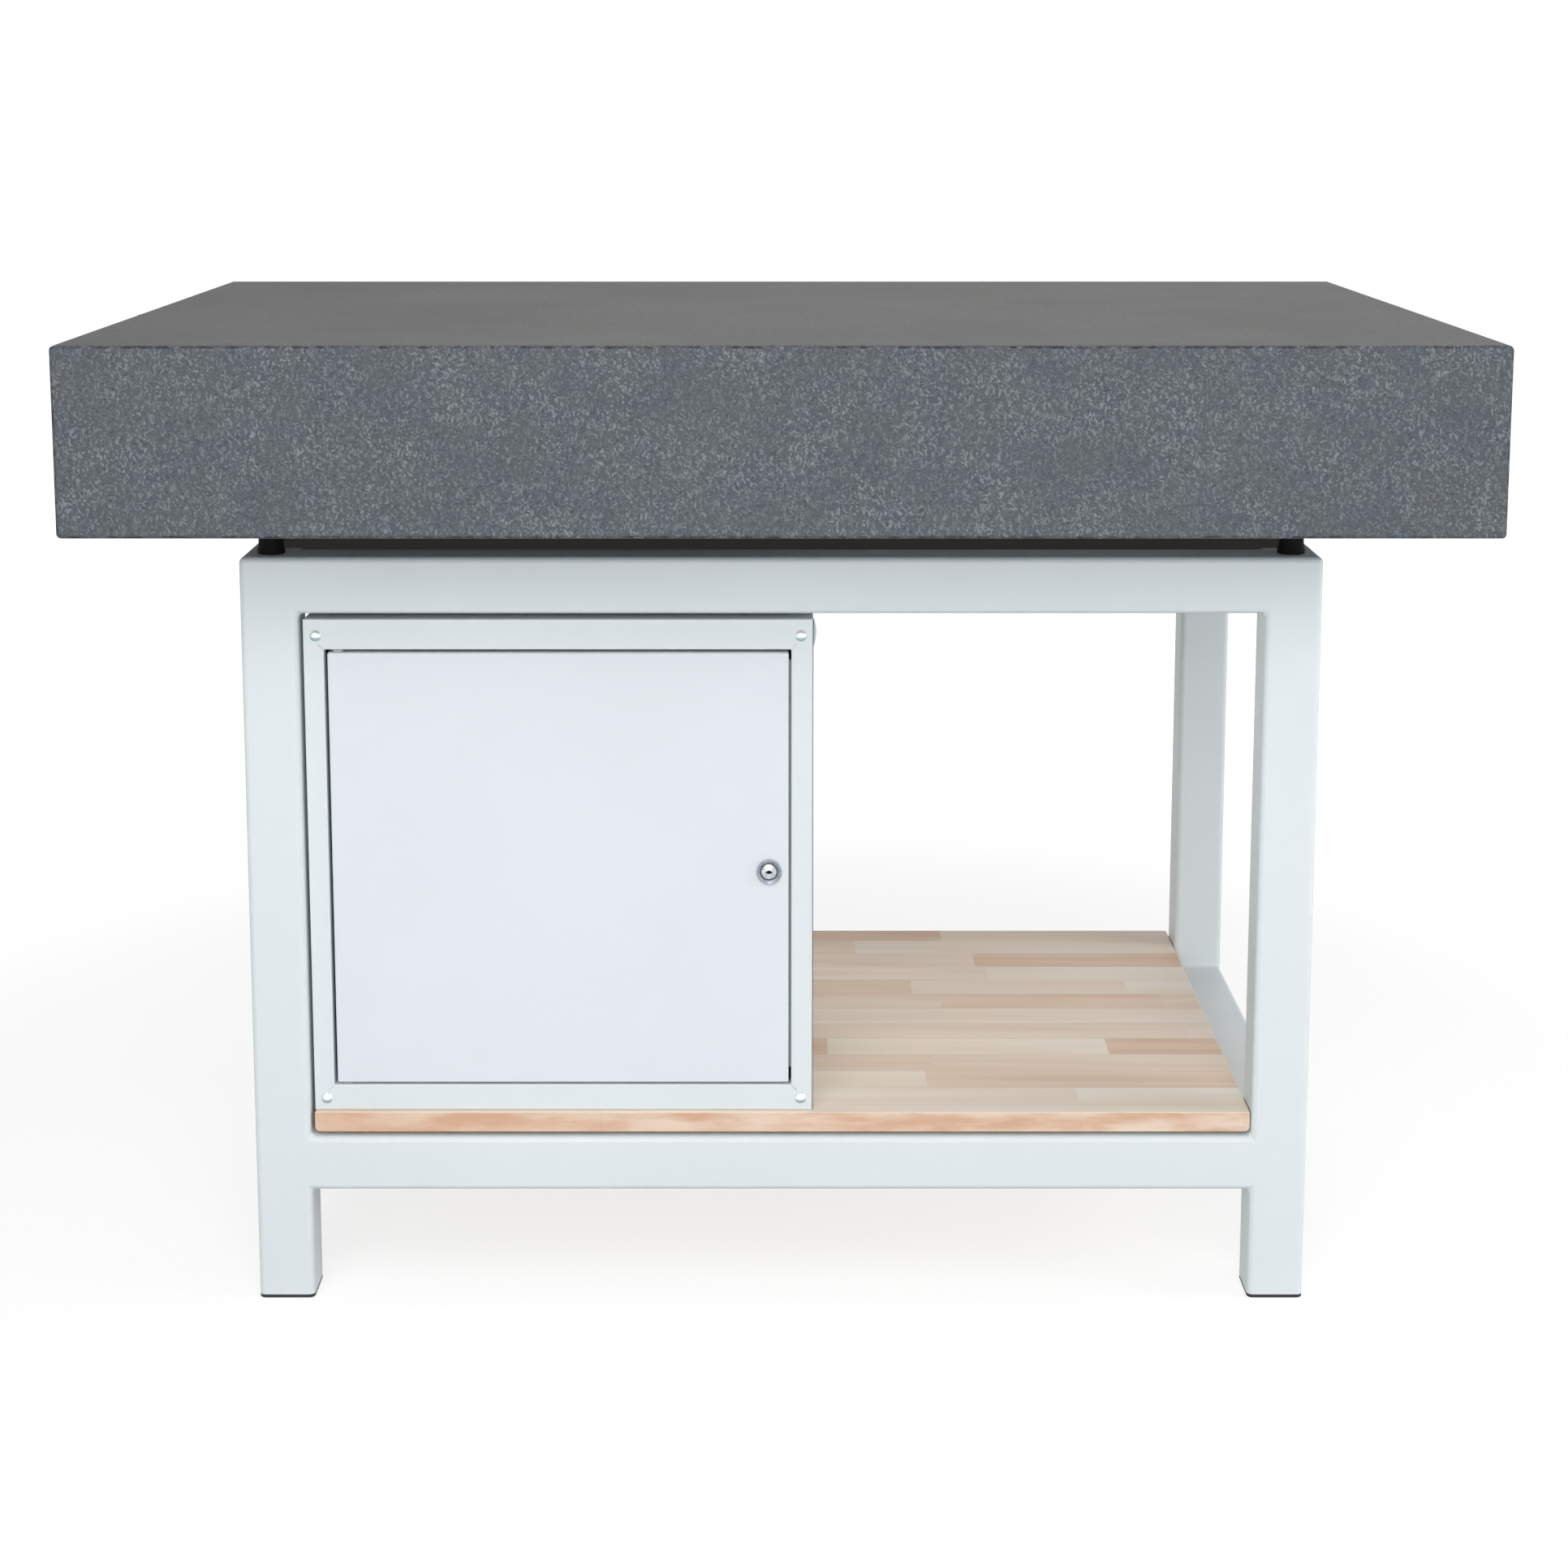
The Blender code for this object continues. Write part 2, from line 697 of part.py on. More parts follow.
def corner_tabs():
    """Flat tabs behind the frame's corners, fused into the body's walls."""
    inside = SHEET * HALF
    reach_left = OPENING_LEFT - SHEET - TAB_CLEARANCE
    reach_right = OPENING_RIGHT + SHEET + TAB_CLEARANCE
    reach_bottom = OPENING_BOTTOM - SHEET - TAB_CLEARANCE
    reach_top = OPENING_TOP + SHEET + TAB_CLEARANCE
    columns = ((CABINET_LEFT + inside, reach_left), (reach_right, CABINET_RIGHT - inside))
    rows = ((CABINET_BOTTOM + inside, reach_bottom), (reach_top, CABINET_TOP - inside))
    tabs = []
    for x_low, x_high in columns:
        for z_low, z_high in rows:
            low = (x_low, BODY_FRONT, z_low)
            high = (x_high, BODY_FRONT + SHEET, z_high)
            tabs.append(box("body tab", low, high, cutter=True))
    return gather("body tabs", tabs, None)


def stud_places():
    """Y of the front and the rear row of shelf studs."""
    front = CABINET_FRONT + SHELF_FRONT + STUD_INSET
    rear = CABINET_BACK - BACK_FLANGE - SHELF_REAR_GAP - STUD_INSET
    return (("front", front), ("rear", rear))


def stud_height():
    return SHELF_TOP - SHEET - GAP - STUD_COLLAR_RADIUS


def side_hole_cutters():
    """Holes in the side walls for the plugs and the shelf studs."""
    rods = []
    for wall, outward in ((CABINET_LEFT, -1), (CABINET_RIGHT, 1)):
        turn = (0, outward * QUARTER_TURN, 0)
        holes = [(PLUG_STUB_RADIUS, PLUG_Y, PLUG_Z)]
        holes += [(STUD_RADIUS, y, stud_height()) for _, y in stud_places()]
        for radius, y, z in holes:
            rods.append(rod("side hole", radius + GAP, -SHEET - OVERRUN, OVERRUN, (wall, y, z), turn))
    return gather("side holes", rods, None)


def make_cabinet_body():
    low = (CABINET_LEFT, BODY_FRONT, CABINET_BOTTOM)
    high = (CABINET_RIGHT, CABINET_BACK, CABINET_TOP)
    body = sheet_shell("cabinet_body", low, high, ((1, -1), (1, 1)), (1,))
    fuse(body, corner_tabs())
    cut(body, rivet_hole_cutters("tab rivet holes"))
    cut(body, side_hole_cutters())
    finish(body, POWDER_COAT)


def make_cabinet_back():
    """A shallow tray, open to the front, set into the rear of the body."""
    inset = SHEET + GAP
    low = (CABINET_LEFT + inset, CABINET_BACK - BACK_FLANGE, CABINET_BOTTOM + inset)
    high = (CABINET_RIGHT - inset, CABINET_BACK, CABINET_TOP - inset)
    back = sheet_shell("cabinet_back", low, high, ((1, -1),), (0, 1, 2))
    finish(back, POWDER_COAT)


def mitre_seams():
    """Thin grooves that run out diagonally from the opening's corners."""
    seams = []
    for x, side in ((OPENING_LEFT, -1), (OPENING_RIGHT, 1)):
        for z, rise in ((OPENING_BOTTOM, -1), (OPENING_TOP, 1)):
            half = SEAM_WIDTH * HALF
            low = (-OVERRUN, -OVERRUN, -half)
            high = (SEAM_LENGTH, SEAM_DEPTH, half)
            mesh = to_mesh("seam", unit_cube(low, high))
            mesh.transform(Matrix.Translation(middle(low, high)))
            angle = -math.atan2(rise, side)
            seams.append(place("seam", mesh, (x, CABINET_FRONT, z), (0, angle, 0), cutter=True))
    return gather("mitre seams", seams, None)


def make_front_frame():
    """A mitred sheet frame with a lip folded back round the door opening."""
    frame = box(
        "front_frame",
        (CABINET_LEFT, CABINET_FRONT, CABINET_BOTTOM),
        (CABINET_RIGHT, CABINET_FRONT + SHEET, CABINET_TOP),
    )
    cut(frame, mitre_seams())
    lip_block = box(
        "lip block",
        (OPENING_LEFT - SHEET, CABINET_FRONT + SHEET * HALF, OPENING_BOTTOM - SHEET),
        (OPENING_RIGHT + SHEET, LIP_END, OPENING_TOP + SHEET),
        cutter=True,
    )
    fuse(frame, lip_block)
    opening = box(
        "door opening",
        (OPENING_LEFT, CABINET_FRONT - OVERRUN, OPENING_BOTTOM),
        (OPENING_RIGHT, LIP_END + OVERRUN, OPENING_TOP),
        cutter=True,
    )
    cut(frame, opening)
    cut(frame, rivet_hole_cutters("frame rivet holes"))
    cut(frame, hinge_hole_cutters("lip hinge holes", PIN_RADIUS + GAP))
    finish(frame, POWDER_COAT)


def make_rivets():
    """Dome-head rivets through the frame and the corner tabs."""
    tail = -SHEET - GAP - SHEET - GAP
    profile = dome(RIVET_HEAD_RADIUS, GAP, RIVET_HEAD_HEIGHT)
    profile += [
        (RIVET_RADIUS, GAP),
        (RIVET_RADIUS, tail),
        (RIVET_TAIL_RADIUS, tail),
        (RIVET_TAIL_RADIUS, tail - RIVET_TAIL_HEIGHT),
        (0, tail - RIVET_TAIL_HEIGHT),
    ]
    for corner, x, z in rivet_places():
        where = (x, CABINET_FRONT, z)
        rivet = turned("frame_rivet_" + corner, profile, where, (QUARTER_TURN, 0, 0), COARSE_STEPS)
        finish(rivet, POWDER_COAT)


def make_side_plug(name, wall, outward):
    profile = dome(PLUG_RADIUS, GAP, PLUG_DOME)
    profile += [
        (PLUG_STUB_RADIUS, GAP),
        (PLUG_STUB_RADIUS, -PLUG_STUB_LENGTH),
        (0, -PLUG_STUB_LENGTH),
    ]
    turn = (0, outward * QUARTER_TURN, 0)
    plug = turned(name, profile, (wall, PLUG_Y, PLUG_Z), turn, FINE_STEPS)
    finish(plug, POWDER_COAT)


def make_door_stop():
    """An angle on the lock side's lip, which the door closes against."""
    outer = OPENING_RIGHT + SHEET + GAP
    inner = OPENING_RIGHT - STOP_COVER
    outline = [
        (outer + SHEET, STOP_BACK),
        (inner, STOP_BACK),
        (inner, STOP_FRONT),
        (outer, STOP_FRONT),
        (outer, STOP_BACK - STOP_LEG),
        (outer + SHEET, STOP_BACK - STOP_LEG),
    ]
    height = OPENING_TOP - OPENING_BOTTOM - STOP_END_GAP - STOP_END_GAP
    centre = (OPENING_TOP + OPENING_BOTTOM) * HALF
    stop = flat_piece("door_stop", [outline], height, (0, 0, centre))
    finish(stop, POWDER_COAT)


# Inner shelf

def make_inner_shelf():
    """A sheet shelf with its front and rear edges folded down."""
    low = (
        CABINET_LEFT + SHEET + SHELF_SIDE_GAP,
        CABINET_FRONT + SHELF_FRONT,
        SHELF_TOP - SHELF_FLANGE,
    )
    high = (
        CABINET_RIGHT - SHEET - SHELF_SIDE_GAP,
        CABINET_BACK - BACK_FLANGE - SHELF_REAR_GAP,
        SHELF_TOP,
    )
    shelf = sheet_shell("inner_shelf", low, high, ((2, -1), (0, -1), (0, 1)), (0,))
    finish(shelf, POWDER_COAT)


def make_shelf_studs():
    """Four studs in the side walls that carry the inner shelf."""
    profile = [
        (0, -GAP),
        (STUD_RADIUS, -GAP),
        (STUD_RADIUS, -SHEET - GAP),
        (STUD_COLLAR_RADIUS, -SHEET - GAP),
        (STUD_COLLAR_RADIUS, -SHEET - STUD_LENGTH),
        (0, -SHEET - STUD_LENGTH),
    ]
    for side, wall, outward in (("left", CABINET_LEFT, -1), ("right", CABINET_RIGHT, 1)):
        for row, y in stud_places():
            name = "shelf_stud_" + row + "_" + side
            turn = (0, outward * QUARTER_TURN, 0)
            stud = turned(name, profile, (wall, y, stud_height()), turn, COARSE_STEPS)
            finish(stud, ZINC)


# Door with its hinge pins and bushes

def hinge_hole_cutters(name, radius):
    """Holes on the hinge axis, through the lip and the door's flange at top and bottom."""
    rods = []
    for bottom, top in (
        (OPENING_BOTTOM - SHEET - OVERRUN, DOOR_BOTTOM + SHEET + OVERRUN),
        (DOOR_TOP - SHEET - OVERRUN, OPENING_TOP + SHEET + OVERRUN),
    ):
        rods.append(rod(name, radius, bottom, top, (HINGE_X, HINGE_Y, 0)))
    return gather(name, rods, None)


def make_door(parent):
    """A tray of folded sheet, open to the back."""
    low = (DOOR_LEFT, CABINET_FRONT, DOOR_BOTTOM)
    high = (DOOR_RIGHT, CABINET_FRONT + DOOR_DEPTH, DOOR_TOP)
    door = hang(sheet_shell("door_panel", low, high, ((1, 1),), (0, 1, 2)), parent)
    cut(door, hang(hinge_hole_cutters("door hinge holes", BUSH_RADIUS + GAP), parent))
    cut(door, hang(lock_hole_cutter(), parent))
    finish(door, POWDER_COAT)


def bush_profile(gap_outside):
    """From the flange in the gap beside the door, down into the door's flange."""
    flange = gap_outside - GAP
    bore = PIN_RADIUS + GAP
    return [
        (bore, flange),
        (BUSH_FLANGE_RADIUS, flange),
        (BUSH_FLANGE_RADIUS, GAP),
        (BUSH_RADIUS, GAP),
        (BUSH_RADIUS, -BUSH_LENGTH),
        (bore, -BUSH_LENGTH),
    ]


def pin_profile(gap_outside):
    """From the head behind the lip, down through the lip, the gap and the bush."""
    seat = gap_outside + SHEET + GAP
    return [
        (0, seat + PIN_HEAD_HEIGHT),
        (PIN_HEAD_RADIUS, seat + PIN_HEAD_HEIGHT),
        (PIN_HEAD_RADIUS, seat),
        (PIN_RADIUS, seat),
        (PIN_RADIUS, -BUSH_LENGTH - PIN_TIP),
        (0, -BUSH_LENGTH - PIN_TIP),
    ]


def make_hinges(parent):
    for end, z, gap_outside, turn in (
        ("top", DOOR_TOP, DOOR_GAP_TOP, 0),
        ("bottom", DOOR_BOTTOM, DOOR_GAP_BOTTOM, math.pi),
    ):
        where = (HINGE_X, HINGE_Y, z)
        rotation = (turn, 0, 0)
        pin = turned("hinge_pin_" + end, pin_profile(gap_outside), where, rotation, COARSE_STEPS)
        finish(pin, STEEL)
        profile = bush_profile(gap_outside)
        bush = turned("hinge_bush_" + end, profile, where, rotation, COARSE_STEPS, closed=True)
        hang(bush, parent)
        finish(bush, NYLON)


# Cam lock, made along its own Z, which points out of the door

def lock_turn():
    return (QUARTER_TURN, 0, 0)


def lock_place():
    return (LOCK_X, CABINET_FRONT, LOCK_Z)


def flats_cutter(name, offset, bottom, top):
    """Two blocks that leave flats on a round body."""
    wide = LOCK_FLANGE_RADIUS + OVERRUN
    blocks = []
    for side in (-1, 1):
        near = side * offset
        far = side * wide
        low = (min(near, far), -wide, bottom)
        high = (max(near, far), wide, top)
        mesh = to_mesh(name, unit_cube(low, high))
        mesh.transform(Matrix.Translation(middle(low, high)))
        blocks.append(place(name, mesh, lock_place(), lock_turn(), cutter=True))
    return gather(name, blocks, None)


def lock_hole_cutter():
    """A round hole with two flats, so the lock's body can't turn in the door."""
    hole = rod(
        "lock hole",
        LOCK_BODY_RADIUS + GAP,
        -SHEET - OVERRUN,
        OVERRUN,
        lock_place(),
        lock_turn(),
    )
    long = OVERRUN + OVERRUN
    cut(hole, flats_cutter("lock hole flats", LOCK_FLAT + GAP, -SHEET - long, long))
    return hole


def lock_back():
    """Height of the housing's rear end, below the door's front face."""
    return -(CAM_FRONT - GAP - CABINET_FRONT)


def make_lock_housing(parent):
    """Dished flange in front of the door and a body with two flats through it."""
    top = GAP + LOCK_FLANGE_HEIGHT
    bore = PLUG_SHAFT_RADIUS + GAP
    recess = PLUG_FACE_RADIUS + GAP
    seat = top - LOCK_DISH - PLUG_FACE_HEIGHT
    profile = [
        (recess, top - LOCK_DISH),
        (LOCK_FLANGE_RADIUS - LOCK_RIM, top),
        (LOCK_FLANGE_RADIUS, top - LOCK_RIM * HALF),
        (LOCK_FLANGE_RADIUS, GAP),
        (LOCK_BODY_RADIUS, GAP),
        (LOCK_BODY_RADIUS, lock_back()),
        (bore, lock_back()),
        (bore, seat),
        (recess, seat),
    ]
    housing = turned("lock_housing", profile, lock_place(), lock_turn(), FINE_STEPS, closed=True)
    hang(housing, parent)
    flats = flats_cutter("housing flats", LOCK_FLAT, lock_back() - OVERRUN, GAP * HALF)
    cut(housing, hang(flats, parent))
    finish(housing, CHROME)


def make_lock_nut(parent):
    """Hexagon nut behind the door's sheet."""
    corner = LOCK_NUT_ACROSS * HALF / math.cos(math.pi / LOCK_NUT_SIDES)
    outline = arc((0, 0), corner, 0, FULL_TURN, LOCK_NUT_SIDES)[:-1]
    x, y, z = lock_place()
    y += SHEET + GAP + LOCK_NUT_HEIGHT * HALF
    nut = flat_piece("lock_nut", [outline], LOCK_NUT_HEIGHT, (x, y, z), lock_turn())
    hang(nut, parent)
    reach = LOCK_NUT_HEIGHT * HALF + OVERRUN
    bore = rod("nut bore", LOCK_BODY_RADIUS + GAP, -reach, reach, (x, y, z), lock_turn())
    cut(nut, hang(bore, parent))
    finish(nut, ZINC)


def make_lock_plug(parent):
    """The turning plug, with its key slot and its square end in the cam."""
    face = GAP + LOCK_FLANGE_HEIGHT - LOCK_DISH
    seat = face - PLUG_FACE_HEIGHT + GAP
    profile = dome(PLUG_FACE_RADIUS, face, PLUG_FACE_CROWN)
    profile += [
        (PLUG_FACE_RADIUS, seat),
        (PLUG_SHAFT_RADIUS, seat),
        (PLUG_SHAFT_RADIUS, lock_back()),
        (0, lock_back()),
    ]
    plug = hang(turned("lock_plug", profile, lock_place(), lock_turn(), FINE_STEPS), parent)
    half = CAM_SQUARE * HALF
    x, y, z = lock_place()
    square = box(
        "plug square",
        (x - half, CAM_FRONT - GAP - OVERRUN, z - half),
        (x + half, CAM_BACK, z + half),
        cutter=True,
    )
    fuse(plug, hang(square, parent))
    depth = -(CAM_BACK - CABINET_FRONT)
    drill = rod(
        "plug thread hole",
        CAM_SCREW_RADIUS + GAP,
        depth - OVERRUN,
        depth + CAM_SCREW_DEPTH + GAP,
        lock_place(),
        lock_turn(),
    )
    cut(plug, hang(drill, parent))
    top = face + PLUG_FACE_CROWN
    slot = box(
        "key slot",
        (x - KEY_SLOT_LENGTH * HALF, y - top - OVERRUN, z - KEY_SLOT_WIDTH * HALF),
        (x + KEY_SLOT_LENGTH * HALF, y - top + KEY_SLOT_DEPTH, z + KEY_SLOT_WIDTH * HALF),
        cutter=True,
    )
    cut(plug, hang(slot, parent))
    finish(plug, CHROME)


def cam_outline():
    """A tapered arm with round ends, from the hub at the origin up to the tip."""
    reach = CAM_LENGTH - CAM_TIP_RADIUS
    lean = math.asin((CAM_HUB_RADIUS - CAM_TIP_RADIUS) / reach)
    tip = arc((0, reach), CAM_TIP_RADIUS, lean, math.pi - lean)
    hub = arc((0, 0), CAM_HUB_RADIUS, math.pi - lean, FULL_TURN + lean, HUB_STEPS)
    return tip + hub


def make_cam(parent):
    """The latch arm. It points up while the lock is open."""
    half = CAM_SQUARE * HALF + GAP
    square = [(-half, -half), (half, -half), (half, half), (-half, half)]
    where = (LOCK_X, (CAM_FRONT + CAM_BACK) * HALF, LOCK_Z)
    cam = flat_piece("lock_cam", [cam_outline(), square], CAM_THICKNESS, where, lock_turn())
    hang(cam, parent)
    finish(cam, ZINC)


def make_cam_screw(parent):
    """Screw that holds the cam on the plug's square end."""
    seat = -GAP
    profile = [
        (0, CAM_SCREW_DEPTH),
        (CAM_SCREW_RADIUS, CAM_SCREW_DEPTH),
        (CAM_SCREW_RADIUS, seat),
        (CAM_SCREW_HEAD_RADIUS, seat),
        (CAM_SCREW_HEAD_RADIUS, seat - CAM_SCREW_HEAD_HEIGHT),
        (0, seat - CAM_SCREW_HEAD_HEIGHT),
    ]
    where = (LOCK_X, CAM_BACK, LOCK_Z)
    screw = hang(turned("cam_screw", profile, where, lock_turn(), COARSE_STEPS), parent)
    finish(screw, ZINC)


clear_scene()
PARTS = new_collection("granite_surface_plate_with_cabinet")
CUTTERS = new_collection("cutters")

make_plate()
make_corners()
make_rails()
make_board()

make_cabinet_body()
make_cabinet_back()
make_front_frame()
make_rivets()
make_side_plug("side_plug_left", CABINET_LEFT, -1)
make_side_plug("side_plug_right", CABINET_RIGHT, 1)
make_door_stop()
make_inner_shelf()
make_shelf_studs()

door_axis = axis_empty("door_axis", (HINGE_X, HINGE_Y, DOOR_MIDDLE))
lock_axis = axis_empty("lock_axis", lock_place(), door_axis)
make_door(door_axis)
make_hinges(door_axis)
make_lock_housing(door_axis)
make_lock_nut(door_axis)
make_lock_plug(lock_axis)
make_cam(lock_axis)
make_cam_screw(lock_axis)
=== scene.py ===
# %% [markdown]
# # A granite surface plate on its stand
# A ground granite plate rests on a welded tube stand. A wooden shelf board carries a
# sheet-metal cabinet whose door turns on hidden pins and closes with a cam lock. The
# engineering model is loaded first and says where every part is. This lesson gives the
# parts their finer shapes and their finishes.

import json
import math
import random

import bmesh
import bpy
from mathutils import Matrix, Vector, noise


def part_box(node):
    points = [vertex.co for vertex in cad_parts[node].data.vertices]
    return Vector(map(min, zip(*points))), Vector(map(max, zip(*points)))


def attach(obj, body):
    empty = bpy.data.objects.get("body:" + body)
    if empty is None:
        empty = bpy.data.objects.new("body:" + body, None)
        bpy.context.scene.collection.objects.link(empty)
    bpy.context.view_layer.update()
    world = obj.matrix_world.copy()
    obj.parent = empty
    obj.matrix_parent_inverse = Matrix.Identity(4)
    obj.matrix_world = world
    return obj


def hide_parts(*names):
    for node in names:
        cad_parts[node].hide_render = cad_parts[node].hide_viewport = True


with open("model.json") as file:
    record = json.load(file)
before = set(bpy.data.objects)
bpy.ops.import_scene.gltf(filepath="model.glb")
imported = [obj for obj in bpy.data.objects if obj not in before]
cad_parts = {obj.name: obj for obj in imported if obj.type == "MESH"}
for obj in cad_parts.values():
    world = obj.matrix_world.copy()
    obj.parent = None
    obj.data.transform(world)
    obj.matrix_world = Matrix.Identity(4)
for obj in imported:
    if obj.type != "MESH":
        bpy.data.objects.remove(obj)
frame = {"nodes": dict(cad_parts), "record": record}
scene = bpy.context.scene
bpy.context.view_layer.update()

# %% [markdown]
# ## The camera
# The plate's corners, the stand's feet and the cabinet's edges fix the camera. It stands
# 2.7 m in front of the plate and 1.1 m above the floor, and looks 9 degrees down. The
# picture shows more below the lens's axis than above it, which a vertical shift gives.

# %% Camera
PICTURE_SIDE = 1932
FOCAL_PIXELS = 3542
SENSOR = 36
VIEW_POINT = (956.6, 675.4)
CAMERA_PLACE = (-0.0042, -2.7468, 1.0822)
PITCH_DEGREES = 9.07

camera_data = bpy.data.cameras.new("camera")
camera_data.sensor_width = SENSOR
camera_data.lens = FOCAL_PIXELS / PICTURE_SIDE * SENSOR
camera_data.shift_x = (PICTURE_SIDE / 2 - VIEW_POINT[0]) / PICTURE_SIDE
camera_data.shift_y = (VIEW_POINT[1] - PICTURE_SIDE / 2) / PICTURE_SIDE
camera = bpy.data.objects.new("camera", camera_data)
camera.location = CAMERA_PLACE
camera.rotation_euler = (math.radians(90 - PITCH_DEGREES), 0, 0)
scene.collection.objects.link(camera)
scene.camera = camera
scene.view_settings.view_transform = "Standard"
print("lens:", round(camera_data.lens, 2), "shift:", round(camera_data.shift_y, 4))

# %% [markdown]
# ## Helpers for modelling by hand
# Blender's operators act on what is selected. So each helper clears the selection first,
# and then selects faces or edges by their place, as a hand would.

# %% Selecting
TINY = 1e-5
SHARP = math.radians(30)


def deselect():
    """Leaves edit mode and lets go of every object."""
    if bpy.context.mode != "OBJECT":
        bpy.ops.object.mode_set(mode="OBJECT")
    bpy.ops.object.select_all(action="DESELECT")


def take(piece):
    """Makes one piece the only selected object."""
    deselect()
    piece.select_set(True)
    bpy.context.view_layer.objects.active = piece


def edit(piece):
    take(piece)
    bpy.ops.object.mode_set(mode="EDIT")


def choose(piece, kind, wanted):
    """In edit mode, selects the faces or edges that pass a test."""
    bpy.ops.mesh.select_mode(type=kind)
    bpy.ops.mesh.select_all(action="DESELECT")
    mesh = bmesh.from_edit_mesh(piece.data)
    for item in mesh.faces if kind == "FACE" else mesh.edges:
        if wanted(item):
            item.select_set(True)
    bmesh.update_edit_mesh(piece.data)


def choose_all():
    bpy.ops.mesh.select_all(action="SELECT")


def bevel(piece, wanted, offset, segments, **settings):
    choose(piece, "EDGE", wanted)
    bpy.ops.mesh.bevel(offset=offset, segments=segments, affect="EDGES", **settings)


def is_sharp(edge):
    return len(edge.link_faces) == 2 and edge.calc_face_angle() > SHARP


def sharp_above(height):
    """A test for the sharp edges that reach above a height."""
    return lambda edge: is_sharp(edge) and max(point.co.z for point in edge.verts) > height


deselect()

# %% [markdown]
# Most pieces start as a box. It is cut along planes, loses the faces that the real piece
# doesn't have, and gets its walls and round edges from modifiers and bevels.

# %% Starting, cutting and shading a piece
SMOOTH_BELOW = math.radians(40)


def name_piece(name):
    """Names the new primitive and puts its place into its mesh."""
    piece = bpy.context.object
    piece.name = name
    piece.data.name = name
    bpy.ops.object.transform_apply(location=True, rotation=True, scale=True)
    return piece


def start_box(name, low, high):
    deselect()
    middle = [(a + b) / 2 for a, b in zip(low, high)]
    size = [b - a for a, b in zip(low, high)]
    bpy.ops.mesh.primitive_cube_add(size=1, location=middle, scale=size)
    return name_piece(name)


def slice_at(axis, place, whole=True):
    """In edit mode, cuts the piece, or what is selected, across one axis."""
    if whole:
        choose_all()
    point = [place if n == axis else 0 for n in range(3)]
    normal = [1 if n == axis else 0 for n in range(3)]
    bpy.ops.mesh.bisect(plane_co=point, plane_no=normal)


def delete_faces(piece, wanted):
    choose(piece, "FACE", wanted)
    bpy.ops.mesh.delete(type="FACE")


def apply_modifier(piece, kind, **settings):
    take(piece)
    modifier = piece.modifiers.new(kind.lower(), kind)
    for name, value in settings.items():
        setattr(modifier, name, value)
    bpy.ops.object.modifier_apply(modifier=modifier.name)


def thicken(piece, thickness):
    """Gives a skin its wall, inwards from the modelled faces."""
    apply_modifier(piece, "SOLIDIFY", thickness=thickness, offset=-1, use_even_offset=True)


def combine(piece, tool, operation):
    """Cuts a piece with another one or fuses them, and removes the other one."""
    apply_modifier(piece, "BOOLEAN", operation=operation, solver="EXACT", object=tool)
    bpy.data.objects.remove(tool, do_unlink=True)


def shade(piece):
    """Smooth over the rounded edges, with flat faces that stay flat."""
    take(piece)
    bpy.ops.object.shade_smooth_by_angle(angle=SMOOTH_BELOW)
    apply_modifier(piece, "WEIGHTED_NORMAL", keep_sharp=True)


def outward(piece):
    """Merges double points and turns all the faces outwards."""
    edit(piece)
    choose_all()
    bpy.ops.mesh.remove_doubles(threshold=TINY)
    choose_all()
    bpy.ops.mesh.normals_make_consistent(inside=False)
    deselect()


def measure(piece):
    size = [round(side * 1000, 1) for side in piece.dimensions]
    print(piece.name, "mm:", size, "faces:", len(piece.data.polygons))


print("smooth below:", round(math.degrees(SMOOTH_BELOW)), "degrees")

# %% [markdown]
# A finish can follow a piece's edges, where paint is thinner and the granite gets a broken
# dark line of painted shade. The more a face leans between two axes, the nearer it is to the
# middle of a rounded edge. That lean goes into an attribute named edge, which the materials
# read. A second attribute, shaded, says how far a face points in one given direction.

# %% Marking faces for the materials
FULL_LEAN = 1 - math.sqrt(0.5)


def mark_faces(piece, name, values):
    layer = piece.data.attributes.new(name, "FLOAT", "FACE")
    layer.data.foreach_set("value", values)


def mark_edges(piece):
    leans = [1 - max(abs(part) for part in face.normal) for face in piece.data.polygons]
    mark_faces(piece, "edge", [min(lean / FULL_LEAN, 1.0) for lean in leans])
    measure(piece)


def mark_shaded(piece, direction, start=None):
    """Marks the faces beyond a start along the direction, or all of them."""
    direction = Vector(direction)
    values = []
    for face in piece.data.polygons:
        beyond = start is None or face.center.dot(direction) > start
        values.append(max(0.0, face.normal.dot(direction)) if beyond else 0.0)
    mark_faces(piece, "shaded", values)


print("full lean:", round(FULL_LEAN, 3))

# %% [markdown]
# ## Round pieces
# Pads, rivets, plugs and the lock were turned or moulded round. A disc is extruded and
# scaled from station to station along its axis, as one would draw a turned profile. A
# ring loses its two end faces, and then the two loops are bridged.

# %% A lathe
def turn_to(axis):
    return Vector((0, 0, 1)).rotation_difference(Vector(axis)).to_euler()


